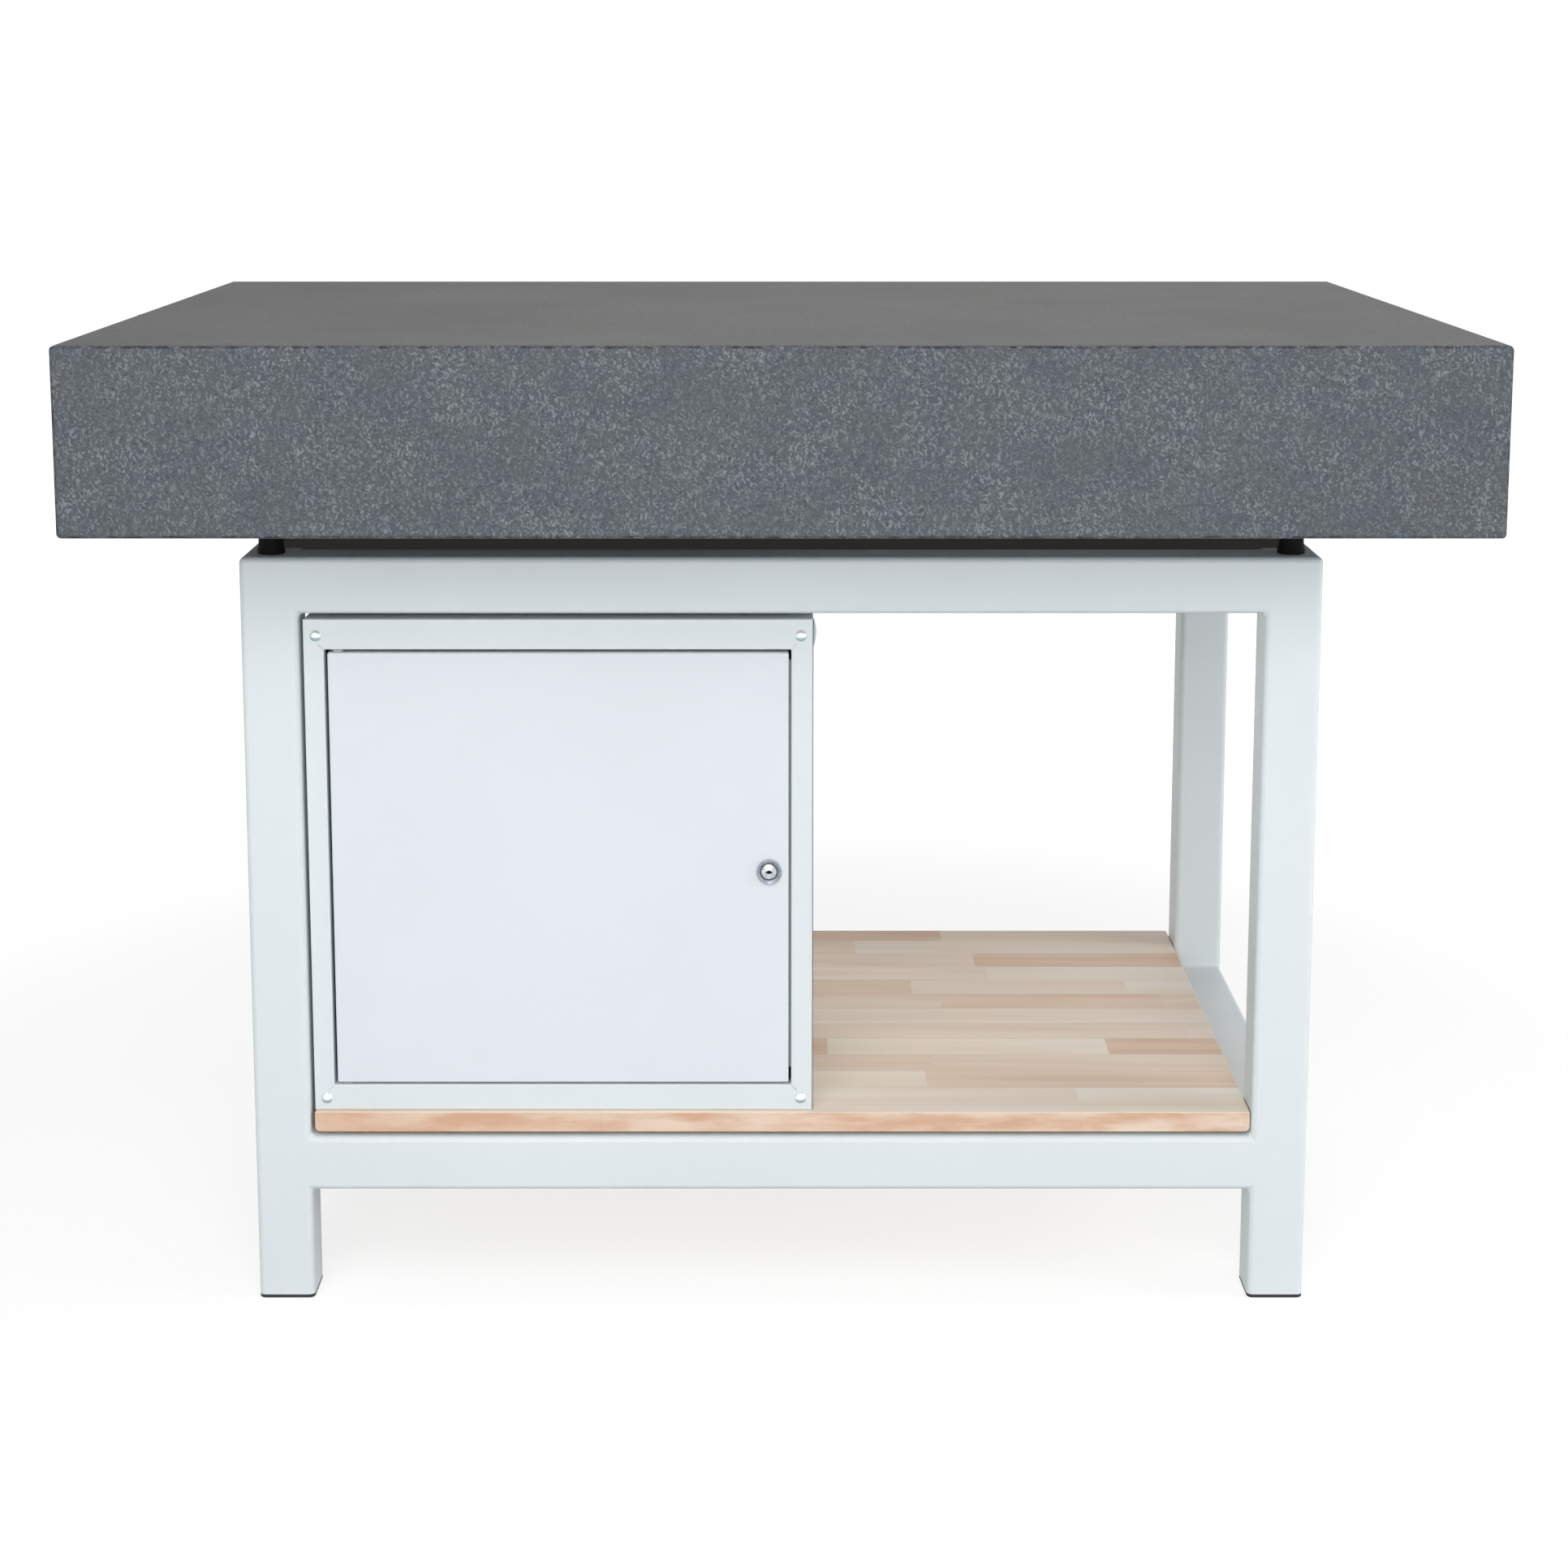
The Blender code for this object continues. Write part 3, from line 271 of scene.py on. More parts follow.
def turned(name, centre, axis, stations, sides=64, through=False):
    """A round piece. Stations are (radius, height) along the axis, from back to front."""
    deselect()
    axis = Vector(axis)
    centre = Vector(centre)
    radius, height = stations[0]
    bpy.ops.mesh.primitive_circle_add(
        vertices=sides, radius=radius, fill_type="NGON",
        location=centre + axis * height, rotation=turn_to(axis),
    )
    piece = name_piece(name)
    edit(piece)
    bpy.ops.mesh.select_mode(type="FACE")
    choose_all()
    for next_radius, next_height in stations[1:]:
        step = axis * (next_height - height)
        bpy.ops.mesh.extrude_region_move(TRANSFORM_OT_translate={"value": step})
        scale = next_radius / radius
        pivot = centre + axis * next_height
        bpy.ops.transform.resize(value=(scale, scale, scale), center_override=pivot)
        radius, height = next_radius, next_height
    if through:
        delete_faces(piece, lambda face: len(face.verts) == sides)
        choose(piece, "EDGE", lambda edge: len(edge.link_faces) == 1)
        bpy.ops.mesh.bridge_edge_loops()
    outward(piece)
    shade(piece)
    return piece


def dome(radius, bottom, height, steps=9):
    """Stations of a domed head, from its rim to its crown."""
    sphere = (radius ** 2 + height ** 2) / (2 * height)
    reach = math.asin(radius / sphere)
    stations = []
    for i in range(steps):
        angle = reach * (1 - i / steps)
        stations.append((sphere * math.sin(angle), bottom + height - sphere * (1 - math.cos(angle))))
    return stations + [(radius * 0.02, bottom + height)]


print("stations of a dome:", len(dome(1.0, 0.0, 0.2)))

# %% [markdown]
# ## The granite plate
# The plate is 1200 x 800 x 160 mm. Its faces are ground flat, and its edges are rounded
# by hand with a stone, so they wander a little. The box gets points every 12 mm, its edges
# are bevelled, and only the points on the rounding then move inwards by up to a millimetre.

# %% Granite plate
GRANITE_EDGE = 0.0035
EDGE_WANDER = 0.0007
FINE_RIPPLE = 90
LONG_RIPPLE = 23
POINT_PITCH = (0.012, 0.012, 0.02)


def wander(piece, low, high):
    middle = (low + high) / 2
    for point in piece.data.vertices:
        gaps = [min(point.co[axis] - low[axis], high[axis] - point.co[axis]) for axis in range(3)]
        if min(gaps) < TINY and all(gap < TINY or gap > GRANITE_EDGE - TINY for gap in gaps):
            continue
        push = 0.5 + 0.5 * noise.noise(point.co * FINE_RIPPLE) + 0.4 * noise.noise(point.co * LONG_RIPPLE)
        pull = Vector([
            math.copysign(1.0, middle[axis] - point.co[axis]) if gaps[axis] < GRANITE_EDGE else 0.0
            for axis in range(3)
        ])
        point.co += pull.normalized() * EDGE_WANDER * max(push, 0.0)


plate_low, plate_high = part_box("granite_plate")
granite_slab = start_box("granite_slab", plate_low, plate_high)
edit(granite_slab)
for axis, pitch in enumerate(POINT_PITCH):
    length = plate_high[axis] - plate_low[axis]
    cuts = int(length / pitch)
    for i in range(1, cuts):
        slice_at(axis, plate_low[axis] + length * i / cuts)
bevel(granite_slab, is_sharp, GRANITE_EDGE, 5)
deselect()
mark_edges(granite_slab)
wander(granite_slab, plate_low, plate_high)
shade(granite_slab)
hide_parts("granite_plate")

# %% [markdown]
# ## The stand
# The stand is square tube, welded and ground flush. Twelve bars laid together would show
# their seams. So one box is cut at every tube's edge, the windows between the tubes are
# deleted, and the remaining skin is thickened by one tube. A single bevel then rounds the
# tubes' corners and leaves the small fillets of the ground welds in the hollow corners.

# %% Stand
TUBE_CORNER = 0.0055

leg_low, leg_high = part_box("leg_front_left")
stand_low = Vector(leg_low)
stand_high = Vector(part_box("leg_rear_right")[1])
tube = leg_high.x - leg_low.x
rail_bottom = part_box("lower_rail_front")[0].z
rail_top = rail_bottom + tube
head_bottom = stand_high.z - tube

welded_stand = start_box("welded_stand", stand_low, stand_high)
edit(welded_stand)
for axis in (0, 1):
    slice_at(axis, stand_low[axis] + tube)
    slice_at(axis, stand_high[axis] - tube)
for height in (rail_bottom, rail_top, head_bottom):
    slice_at(2, height)


def is_window(face):
    """A face between the tubes, or under the stand."""
    place = face.calc_center_median()
    between = [abs(place[axis]) < stand_high[axis] - tube for axis in (0, 1)]
    if abs(face.normal.z) > 0.5:
        return face.normal.z < 0 or all(between)
    across = between[0 if abs(face.normal.y) > 0.5 else 1]
    return across and (place.z < rail_bottom or rail_top < place.z < head_bottom)


delete_faces(welded_stand, is_window)
thicken(welded_stand, tube)
outward(welded_stand)
edit(welded_stand)
bevel(welded_stand, sharp_above(stand_low.z + 0.001), TUBE_CORNER, 5, clamp_overlap=False)
deselect()
mark_edges(welded_stand)
# Marks the downward faces, which get painted shade.
mark_shaded(welded_stand, (0, 0, -1))
shade(welded_stand)
corners = ("front_left", "front_right", "rear_left", "rear_right")
rail_sides = ("front", "rear", "left", "right")
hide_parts(*["leg_" + corner for corner in corners])
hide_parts(*["top_rail_" + side for side in rail_sides])
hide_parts(*["lower_rail_" + side for side in rail_sides])

# %% [markdown]
# ## The pads under the plate
# Four short black columns with a slightly wider foot carry the plate. One profile is
# turned and copied to the other legs.

# %% Support pads
def box_middle(part):
    low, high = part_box(part)
    return (low + high) / 2


def copy_to(piece, name, shift):
    """A copy with its own mesh, moved in its mesh."""
    twin = piece.copy()
    twin.data = piece.data.copy()
    twin.name = name
    twin.data.name = name
    scene.collection.objects.link(twin)
    edit(twin)
    choose_all()
    bpy.ops.transform.translate(value=shift)
    deselect()
    return twin


pad_low, pad_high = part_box("support_pad_front_left")
pad_height = pad_high.z - pad_low.z
pad_middle = box_middle("support_pad_front_left")
pad_stations = [
    (0.0116, 0.0), (0.0121, 0.0005), (0.0121, 0.0030), (0.0118, 0.0042), (0.0114, 0.0058),
    (0.0111, 0.0080), (0.0110, 0.0110), (0.0110, pad_height - 0.0030), (0.0112, pad_height - 0.0012),
    (0.0111, pad_height - 0.0004), (0.0106, pad_height),
]
pad_foot = (pad_middle.x, pad_middle.y, pad_low.z)
pads = [turned("pad_front_left", pad_foot, (0, 0, 1), pad_stations, sides=48)]
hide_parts("support_pad_front_left")
for corner in corners[1:]:
    pad = copy_to(pads[0], "pad_" + corner, box_middle("support_pad_" + corner) - pad_middle)
    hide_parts("support_pad_" + corner)
    pads.append(pad)
measure(pads[-1])

# %% [markdown]
# ## The shelf board
# The board is glued from beech staves of one width and many lengths. A flat box is
# bevelled, then cut along every glue line and at each row's own butt joints. Every face
# then knows its stave: one attribute holds its tone and another a number for its grain.

# %% Board of staves
BOARD_EDGE = 0.0010
LOWER_EDGE = 0.0003
END_ROUND = 0.0042
FIRST_ROW = 0.0647
ROW_WIDTH = 0.0462

# How much further the finished board reaches to the right, to the front and down
MORE_RIGHT, MORE_FRONT, MORE_DOWN = 0.0025, 0.0015, 0.0002

# Butt joints (X) and tones (0 pale to 1 red-brown) of each row, from the front to the back
STAVE_ROWS = [
    ((-0.160, 0.271), (0.42, 0.20, -0.10)),
    ((-0.225, 0.135), (0.50, 0.22, 0.66)),
    ((-0.060, 0.143), (0.30, 0.60, 0.46)),
    ((-0.265, 0.045, 0.313), (0.20, 0.85, 0.08, 0.78)),
    ((-0.120, 0.397), (0.40, 0.44, 0.24)),
    ((-0.300, 0.018), (0.50, 0.35, 0.27)),
    ((-0.185, 0.161, 0.385), (0.30, 0.55, 0.70, 0.46)),
    ((-0.250, 0.134, 0.354), (0.45, 0.78, 0.38, 0.10)),
    ((-0.075, 0.215), (0.52, 0.32, 0.12)),
    ((-0.205, 0.204), (0.40, 0.45, 0.82)),
    ((-0.310, 0.080), (0.30, 0.52, 0.28)),
    ((-0.110, 0.174), (0.50, 0.92, 0.46)),
]

board_low, board_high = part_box("shelf_board")
board_high.x += MORE_RIGHT
board_low.y -= MORE_FRONT
board_low.z -= MORE_DOWN
first_end = board_low.y + FIRST_ROW
row_starts = [board_low.y] + [first_end + ROW_WIDTH * i for i in range(len(STAVE_ROWS) - 1)]


def row_of(y):
    return max(i for i, start in enumerate(row_starts) if y >= start - TINY / 10)


def is_lower_end(edge):
    """The two lower edges across the board's ends, which clear the stand's welds."""
    ends = [point.co for point in edge.verts]
    low = max(end.z for end in ends) < board_low.z + TINY
    return low and abs(ends[0].x - ends[1].x) < TINY


stave_board = start_box("stave_board", board_low, board_high)
edit(stave_board)
bevel(stave_board, is_lower_end, END_ROUND, 5)
bevel(stave_board, sharp_above(board_low.z + TINY), BOARD_EDGE, 3)
bevel(stave_board, is_sharp, LOWER_EDGE, 2)
for start in row_starts[1:]:
    slice_at(1, start)
for row, (joints, _) in enumerate(STAVE_ROWS):
    for joint in joints:
        choose(stave_board, "FACE", lambda face: row_of(face.calc_center_median().y) == row)
        slice_at(0, joint, whole=False)
deselect()
measure(stave_board)

# %% Stave attributes
marks = {"stave_tone": [], "stave_seed": [], "board_rim": []}
for face in stave_board.data.polygons:
    row = row_of(face.center.y)
    joints, tones = STAVE_ROWS[row]
    stave = sum(1 for joint in joints if face.center.x > joint)
    marks["stave_tone"].append(tones[stave])
    marks["stave_seed"].append(random.Random(row * 17 + stave).random())
    marks["board_rim"].append(1.0 if abs(face.normal.z) < 0.5 else 0.0)
for name, values in marks.items():
    mark_faces(stave_board, name, values)
mark_edges(stave_board)
shade(stave_board)
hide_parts("shelf_board")
print("staves:", sum(len(tones) for _, tones in STAVE_ROWS))

# %% [markdown]
# ## The cabinet's front frame
# The frame is folded from 1.5 mm sheet: a flat face with a lip turned back round the
# door opening, closed at the corners with short mitre seams. It is modelled as one skin
# and thickened last, because the folds then come out right on both sides.

# %% Front frame
SHEET = 0.0015
FOLD = 0.0012
OUTER_ROUND = 0.0011
LIP = 0.0145
RIM = 0.005
GAP_LEFT, GAP_RIGHT, GAP_BELOW, GAP_ABOVE = 0.0028, 0.0022, 0.0020, 0.0028

face_low, face_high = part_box("front_frame")
door_low, door_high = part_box("door_panel")
opening = {
    0: (door_low.x - GAP_LEFT, door_high.x + GAP_RIGHT),
    2: (door_low.z - GAP_BELOW, door_high.z + GAP_ABOVE),
}


def in_opening(face):
    place = face.calc_center_median()
    return all(low < place[axis] < high for axis, (low, high) in opening.items())


def round_opening(edge):
    """The edges of the hole, which are open and lie inside the sheet's outline."""
    middle = (edge.verts[0].co + edge.verts[1].co) / 2
    inside = all(face_low[axis] + RIM < middle[axis] < face_high[axis] - RIM for axis in (0, 2))
    return len(edge.link_faces) == 1 and inside


def on_outline(edge):
    """The front edges of the sheet's outline."""
    ends = [point.co for point in edge.verts]
    if max(end.y for end in ends) > face_low.y + TINY:
        return False
    return any(
        all(abs(end[axis] - limit[axis]) < TINY for end in ends)
        for axis in (0, 2) for limit in (face_low, face_high)
    )


cabinet_front = start_box("cabinet_front", face_low, (face_high.x, face_low.y + LIP, face_high.z))
edit(cabinet_front)
delete_faces(cabinet_front, lambda face: face.normal.y > -0.5)
for axis, places in opening.items():
    for place in places:
        slice_at(axis, place)
delete_faces(cabinet_front, in_opening)
choose(cabinet_front, "EDGE", round_opening)
bpy.ops.mesh.extrude_region_move(TRANSFORM_OT_translate={"value": (0, LIP, 0)})
bevel(cabinet_front, is_sharp, FOLD, 4)
choose_all()
bpy.ops.mesh.normals_make_consistent(inside=False)
thicken(cabinet_front, SHEET)
edit(cabinet_front)
bevel(cabinet_front, on_outline, OUTER_ROUND, 3)
deselect()
measure(cabinet_front)

# %% [markdown]
# The holes are cut last: four for the rivets, two for the hinge pins, and the four mitre
# seams, thin slots that run out from the opening's corners. The cutters are joined first,
# so that one cut makes them all.

# %% Holes and seams of the frame
RIVET_HOLE = 0.0024
PIN_HOLE = 0.0023
SEAM_LENGTH = 0.007
SEAM_WIDTH = 0.0009
SEAM_DEPTH = 0.0012
SEAM_START = (-0.001, -0.002, -SEAM_WIDTH / 2)


def start_rod(radius, centre, axis, length):
    deselect()
    bpy.ops.mesh.primitive_cylinder_add(
        vertices=32, radius=radius, depth=length, location=centre, rotation=turn_to(axis)
    )
    return name_piece("hole")


def join(pieces):
    deselect()
    for piece in pieces:
        piece.select_set(True)
    bpy.context.view_layer.objects.active = pieces[0]
    bpy.ops.object.join()
    return bpy.context.object


rivet_names = ["frame_rivet_" + end for end in ("bottom_left", "bottom_right", "top_left", "top_right")]
cutters = []
for rivet in rivet_names:
    centre = box_middle(rivet)
    cutters.append(start_rod(RIVET_HOLE, (centre.x, face_low.y, centre.z), (0, 1, 0), 0.01))
for pin in ("hinge_pin_top", "hinge_pin_bottom"):
    cutters.append(start_rod(PIN_HOLE, box_middle(pin), (0, 0, 1), 0.02))
for x, side in zip(opening[0], (-1, 1)):
    for z, rise in zip(opening[2], (-1, 1)):
        seam = start_box("seam", SEAM_START, (SEAM_LENGTH, SEAM_DEPTH, SEAM_WIDTH / 2))
        edit(seam)
        choose_all()
        angle = math.atan2(rise, side)
        bpy.ops.transform.rotate(value=angle, orient_axis="Y", center_override=(0, 0, 0))
        bpy.ops.transform.translate(value=(x, face_low.y, z))
        cutters.append(seam)
print("cutters:", len(cutters))
combine(cabinet_front, join(cutters), "DIFFERENCE")
outward(cabinet_front)
mark_edges(cabinet_front)
# Marks the faces of the right edge, which get painted shade.
mark_shaded(cabinet_front, (1, 0, 0), face_high.x - 0.002)
shade(cabinet_front)
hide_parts("front_frame")

# %% [markdown]
# ## The door
# The door is a shallow tray of the same sheet. A box loses its rear face, its folds are
# bevelled, and the skin is thickened. The lock's hole has two flats, which keep the lock
# from turning, and each hinge bush has a round hole in the tray's flange.

# %% Door
DOOR_FOLD = 0.002
LOCK_HOLE = 0.0083
LOCK_HOLE_FLAT = 0.0074
BUSH_HOLE = 0.0035

door_leaf = start_box("door_leaf", door_low, door_high)
edit(door_leaf)
delete_faces(door_leaf, lambda face: face.normal.y > 0.5)
bevel(door_leaf, is_sharp, DOOR_FOLD, 5)
thicken(door_leaf, SHEET)
lock_centre = box_middle("lock_housing")
lock_face = Vector((lock_centre.x, door_low.y, lock_centre.z))
lock_hole = start_rod(LOCK_HOLE, lock_face, (0, 1, 0), 0.01)
edit(lock_hole)
for side in (-1, 1):
    choose_all()
    flat = lock_face + Vector((side * LOCK_HOLE_FLAT, 0, 0))
    bpy.ops.mesh.bisect(plane_co=flat, plane_no=(side, 0, 0), clear_outer=True, use_fill=True)
cutters = [lock_hole]
for bush, flange in (("hinge_bush_top", door_high.z), ("hinge_bush_bottom", door_low.z)):
    centre = box_middle(bush)
    cutters.append(start_rod(BUSH_HOLE, (centre.x, centre.y, flange), (0, 0, 1), 0.006))
combine(door_leaf, join(cutters), "DIFFERENCE")
outward(door_leaf)
mark_edges(door_leaf)
shade(door_leaf)
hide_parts("door_panel")

# %% [markdown]
# ## Rivets and side plugs
# The rivets have domed heads, a shank through both sheets and a set tail inside. A plug
# with a flat dome and a stub closes a round hole in each side of the cabinet. Both are
# turned, because one profile gives dome, shank and tail in a single skin.

# %% Rivets
FACE_GAP = 0.0003
SHANK = 0.0021
TAIL = 0.0034
TAIL_LENGTH = 0.0016

rivets = []
for rivet in rivet_names:
    centre = box_middle(rivet)
    end = face_low.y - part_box(rivet)[1].y
    stations = [(0.0031, end), (TAIL, end + 0.0003), (TAIL, end + TAIL_LENGTH), (SHANK, end + TAIL_LENGTH)]
    stations += [(SHANK, FACE_GAP), (0.0049, FACE_GAP)] + dome(0.0050, FACE_GAP + 0.0003, 0.0027)
    name = rivet.replace("frame_rivet", "rivet")
    piece = turned(name, (centre.x, face_low.y, centre.z), (0, -1, 0), stations, sides=40)
    # Marks the head's downward faces, which get painted shade and a painted reflection.
    mark_shaded(piece, (0, 0, -1))
    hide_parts(rivet)
    rivets.append(piece)
measure(rivets[0])

# %% Side plugs
PLUG = 0.012
STUB = 0.0077

plugs = []
plug_stations = [(0.0073, -0.006), (STUB, -0.0055), (STUB, FACE_GAP), (PLUG, FACE_GAP)]
plug_stations += dome(PLUG, 0.0006, 0.0021)
for plug, side, wall in (("side_plug_left", -1, face_low.x), ("side_plug_right", 1, face_high.x)):
    centre = box_middle(plug)
    name = plug.replace("side_plug", "hole_plug")
    piece = turned(name, (wall, centre.y, centre.z), (side, 0, 0), plug_stations)
    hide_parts(plug)
    plugs.append(piece)
measure(plugs[0])

# %% [markdown]
# ## The cam lock
# From the front the lock is a dished ring round a domed plug, whose key slot lies in a
# small hollow that guides the key. Behind the door its barrel has a thread and two flats.
# The plug turns with the cam, so it is a piece of its own.

# %% Lock barrel
THREAD = 0.0080
THREAD_ROOT = 0.0076
THREAD_PITCH = 0.001
THREAD_END = -0.0045
BORE = 0.0058
BARREL_FLAT = 0.0071

barrel_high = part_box("lock_housing")[1]
barrel_back = lock_face.y - barrel_high.y
barrel_stations = [(0.0072, barrel_back)]
height = barrel_back + 0.0006
while height < THREAD_END:
    barrel_stations += [(THREAD, height), (THREAD_ROOT, height + THREAD_PITCH / 2)]
    height += THREAD_PITCH
barrel_stations += [
    (THREAD, -0.0035), (THREAD, 0.0003), (0.0108, 0.0003), (0.0110, 0.0006), (0.0110, 0.0028),
    (0.01085, 0.0031), (0.0105, 0.0033), (0.0101, 0.00325), (0.0096, 0.00285), (0.0089, 0.0023),
    (0.0082, 0.0019), (0.0078, 0.00172), (0.0075, 0.0017), (0.0075, 0.0001), (BORE, 0.0001),
    (BORE, barrel_back),
]
lock_barrel = turned("lock_barrel", lock_face, (0, -1, 0), barrel_stations, through=True)
flats = []
for side in (-1, 1):
    inner, outer = sorted((side * BARREL_FLAT, side * 0.009))
    low = (lock_face.x + inner, lock_face.y - 0.00015, lock_face.z - 0.009)
    high = (lock_face.x + outer, barrel_high.y + 0.001, lock_face.z + 0.009)
    flats.append(start_box("flat", low, high))
combine(lock_barrel, join(flats), "DIFFERENCE")
outward(lock_barrel)
shade(lock_barrel)
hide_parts("lock_housing")
measure(lock_barrel)

# %% Lock plug
CORE = 0.0055
CROWN = 0.0072
HOLLOW = 0.0026
KEY_LENGTH = 0.0056
KEY_WIDTH = 0.0016
SQUARE = 0.006
SCREW_HOLE = 0.0018

core_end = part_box("lock_plug")[1].y
core_stations = [(0.0052, barrel_back), (CORE, barrel_back + 0.0003), (CORE, 0.0004), (0.0070, 0.0004)]
core_stations += [(CROWN, 0.0006)] + [spot for spot in dome(CROWN, 0.0013, 0.0018) if spot[0] > HOLLOW]
core_stations += [(0.0022, 0.0030), (0.0019, 0.0028), (0.0014, 0.0025), (0.0008, 0.0023), (0.0001, 0.0023)]
lock_core = turned("lock_core", lock_face, (0, -1, 0), core_stations)


def lock_box(name, width, height, front, back):
    """A box on the lock's axis, between two places on Y."""
    low = (lock_face.x - width / 2, front, lock_face.z - height / 2)
    high = (lock_face.x + width / 2, back, lock_face.z + height / 2)
    return start_box(name, low, high)


square = lock_box("square", SQUARE, SQUARE, lock_face.y - barrel_back - 0.002, core_end)
combine(lock_core, square, "UNION")
key_slot = lock_box("slot", KEY_LENGTH, KEY_WIDTH, lock_face.y - 0.004, lock_face.y + 0.006)
screw_hole = start_rod(SCREW_HOLE, (lock_face.x, core_end, lock_face.z), (0, 1, 0), 0.0125)
combine(lock_core, join([key_slot, screw_hole]), "DIFFERENCE")
outward(lock_core)
shade(lock_core)
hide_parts("lock_plug")
measure(lock_core)

# %% [markdown]
# ## Node helpers
# Materials are small networks of nodes. One helper makes, sets and links a node, so that
# each finish reads as a short recipe. Colours are written as picked on a screen, from 0
# to 255, and turned into the linear values that Blender needs.

# %% Node helpers
def tint(red, green, blue):
    parts = []
    for value in (red, green, blue):
        share = value / 255
        parts.append(share / 12.92 if share <= 0.04045 else ((share + 0.055) / 1.055) ** 2.4)
    return (*parts, 1.0)


def node(kind, inputs=None, tree=None, **settings):
    """A node. Its inputs are values, or sockets to link, which also say what tree it is in."""
    linked = {name: value for name, value in (inputs or {}).items() if hasattr(value, "is_linked")}
    tree = tree or next(iter(linked.values())).id_data
    made = tree.nodes.new("ShaderNode" + kind)
    for name, value in settings.items():
        setattr(made, name, value)
    for name, value in (inputs or {}).items():
        if name in linked:
            link(value, made.inputs[name])
        else:
            made.inputs[name].default_value = value
    return made


def link(start, end):
    start.id_data.links.new(start, end)


def math_node(operation, first, second=0.0):
    return node("Math", {0: first, 1: second}, operation=operation).outputs[0]


def times(first, second):
    return math_node("MULTIPLY", first, second)


def minus(first, second):
    return math_node("SUBTRACT", first, second)


def vector_node(operation, first, second):
    return node("VectorMath", {0: first, 1: second}, operation=operation).outputs[0]


def length_of(vector):
    return node("VectorMath", {0: vector}, operation="LENGTH").outputs["Value"]


def attribute(where, name):
    """A face attribute, read in the tree of some coordinates."""
    return node("Attribute", tree=where.id_data, attribute_name=name).outputs["Fac"]


def mix(factor, first, second, blend="MIX"):
    made = node("Mix", {0: factor, 6: first, 7: second}, data_type="RGBA", blend_type=blend)
    return made.outputs[2]


def spread(value, low, high, start=0.0, end=1.0):
    """Maps low..high to start..end with soft ends."""
    inputs = {"Value": value, "From Min": low, "From Max": high, "To Min": start, "To Max": end}
    return node("MapRange", inputs, interpolation_type="SMOOTHSTEP").outputs[0]


def grain(where, scale=1.0, detail=2.0, **inputs):
    """The outputs of a noise over some coordinates."""
    return node("TexNoise", {"Vector": where, "Scale": scale, "Detail": detail, **inputs}).outputs


def cloud(where, size, detail=2.0):
    """Soft noise whose blobs are about size across."""
    return grain(where, 1 / size, detail, Roughness=0.55)[0]


def cells(where, scale=1.0):
    return node("TexVoronoi", {"Vector": where, "Scale": scale}).outputs


def stretched(where, size, turn=(0, 0, 0)):
    """Coordinates in which one unit is size, along turned axes."""
    inputs = {"Vector": where, "Rotation": turn, "Scale": size}
    return node("Mapping", inputs, vector_type="TEXTURE").outputs[0]


print("middle grey:", [round(part, 3) for part in tint(128, 128, 128)])

# %% [markdown]
# Effects that several finishes share are node groups, with named inputs and outputs that
# change over the surface. The first gives patches along the edges: paler worn paint on the
# coats and painted shade on the granite. A noise breaks up the edge attribute, because real
# wear comes in patches.

# %% Group helper and the edge group
def new_group(name, inputs):
    """A group with a vector and numbers as its inputs."""
    group = bpy.data.node_groups.new(name, "ShaderNodeTree")
    group.interface.new_socket(name="Vector", in_out="INPUT", socket_type="NodeSocketVector")
    for label, value in inputs.items():
        socket = group.interface.new_socket(name=label, in_out="INPUT", socket_type="NodeSocketFloat")
        socket.default_value = value
    give = group.nodes.new("NodeGroupInput").outputs
    return group, give["Vector"], give


def close_group(group, outputs):
    """Names the group's outputs, a colour or numbers, and links them."""
    for label in outputs:
        kind = "NodeSocketColor" if label == "Color" else "NodeSocketFloat"
        group.interface.new_socket(name=label, in_out="OUTPUT", socket_type=kind)
    get = group.nodes.new("NodeGroupOutput").inputs
    for label, value in outputs.items():
        link(value, get[label])


def use_group(group, inputs):
    return node("Group", inputs, node_tree=group).outputs


edge_wear_and_shade, where, give = new_group("edge wear and shade", {"Size": 0.004})
patches = grain(where, math_node("DIVIDE", 1.0, give["Size"]), 3.0)[0]
edge_patches = times(attribute(where, "edge"), spread(patches, 0.42, 0.62))
close_group(edge_wear_and_shade, {"Mask": edge_patches})
print("edge wear and shade nodes:", len(edge_wear_and_shade.nodes))

# %% [markdown]
# ## Granite
# The stone is a fine dark grey rock: thin pale crystals lie in all directions between
# darker grains, and some patches are poorer in crystals or bluer. A crystal is the core
# of a stretched Voronoi cell. Several sets of cells, each turned another way and bent by a
# soft noise, cross each other. They are clear on the ground sides and faint on the top.

# %% Granite grain group
BEND = 0.006
BEND_SCALE = 150.0
PALE_CRYSTALS = (
    ((0.0092, 0.0030, 0.0030), (0.3, 0.9, 0.4)),
    ((0.0088, 0.0027, 0.0029), (-0.5, -0.7, 1.1)),
    ((0.0083, 0.0029, 0.0027), (1.2, 0.2, -0.8)),
    ((0.0104, 0.0031, 0.0027), (0.1, 1.5, 2.2)),
)
DARK_GRAIN, DARK_TURN = (0.0050, 0.0022, 0.0030), (0.7, -0.4, 0.2)
FINE_GRAIN = 0.0016
RICH_PATCH = 0.050
BLUE_PATCH = 0.034


def crystals(where, size, turn, low, high):
    """Cores of stretched cells, each with its own brightness."""
    cell = cells(stretched(where, size, turn))
    core = spread(cell["Distance"], low, high, 1.0, 0.0)
    own = node("SeparateColor", {0: cell["Color"]}).outputs[0]
    return times(core, spread(own, 0.1, 0.9, 0.25, 1.0))


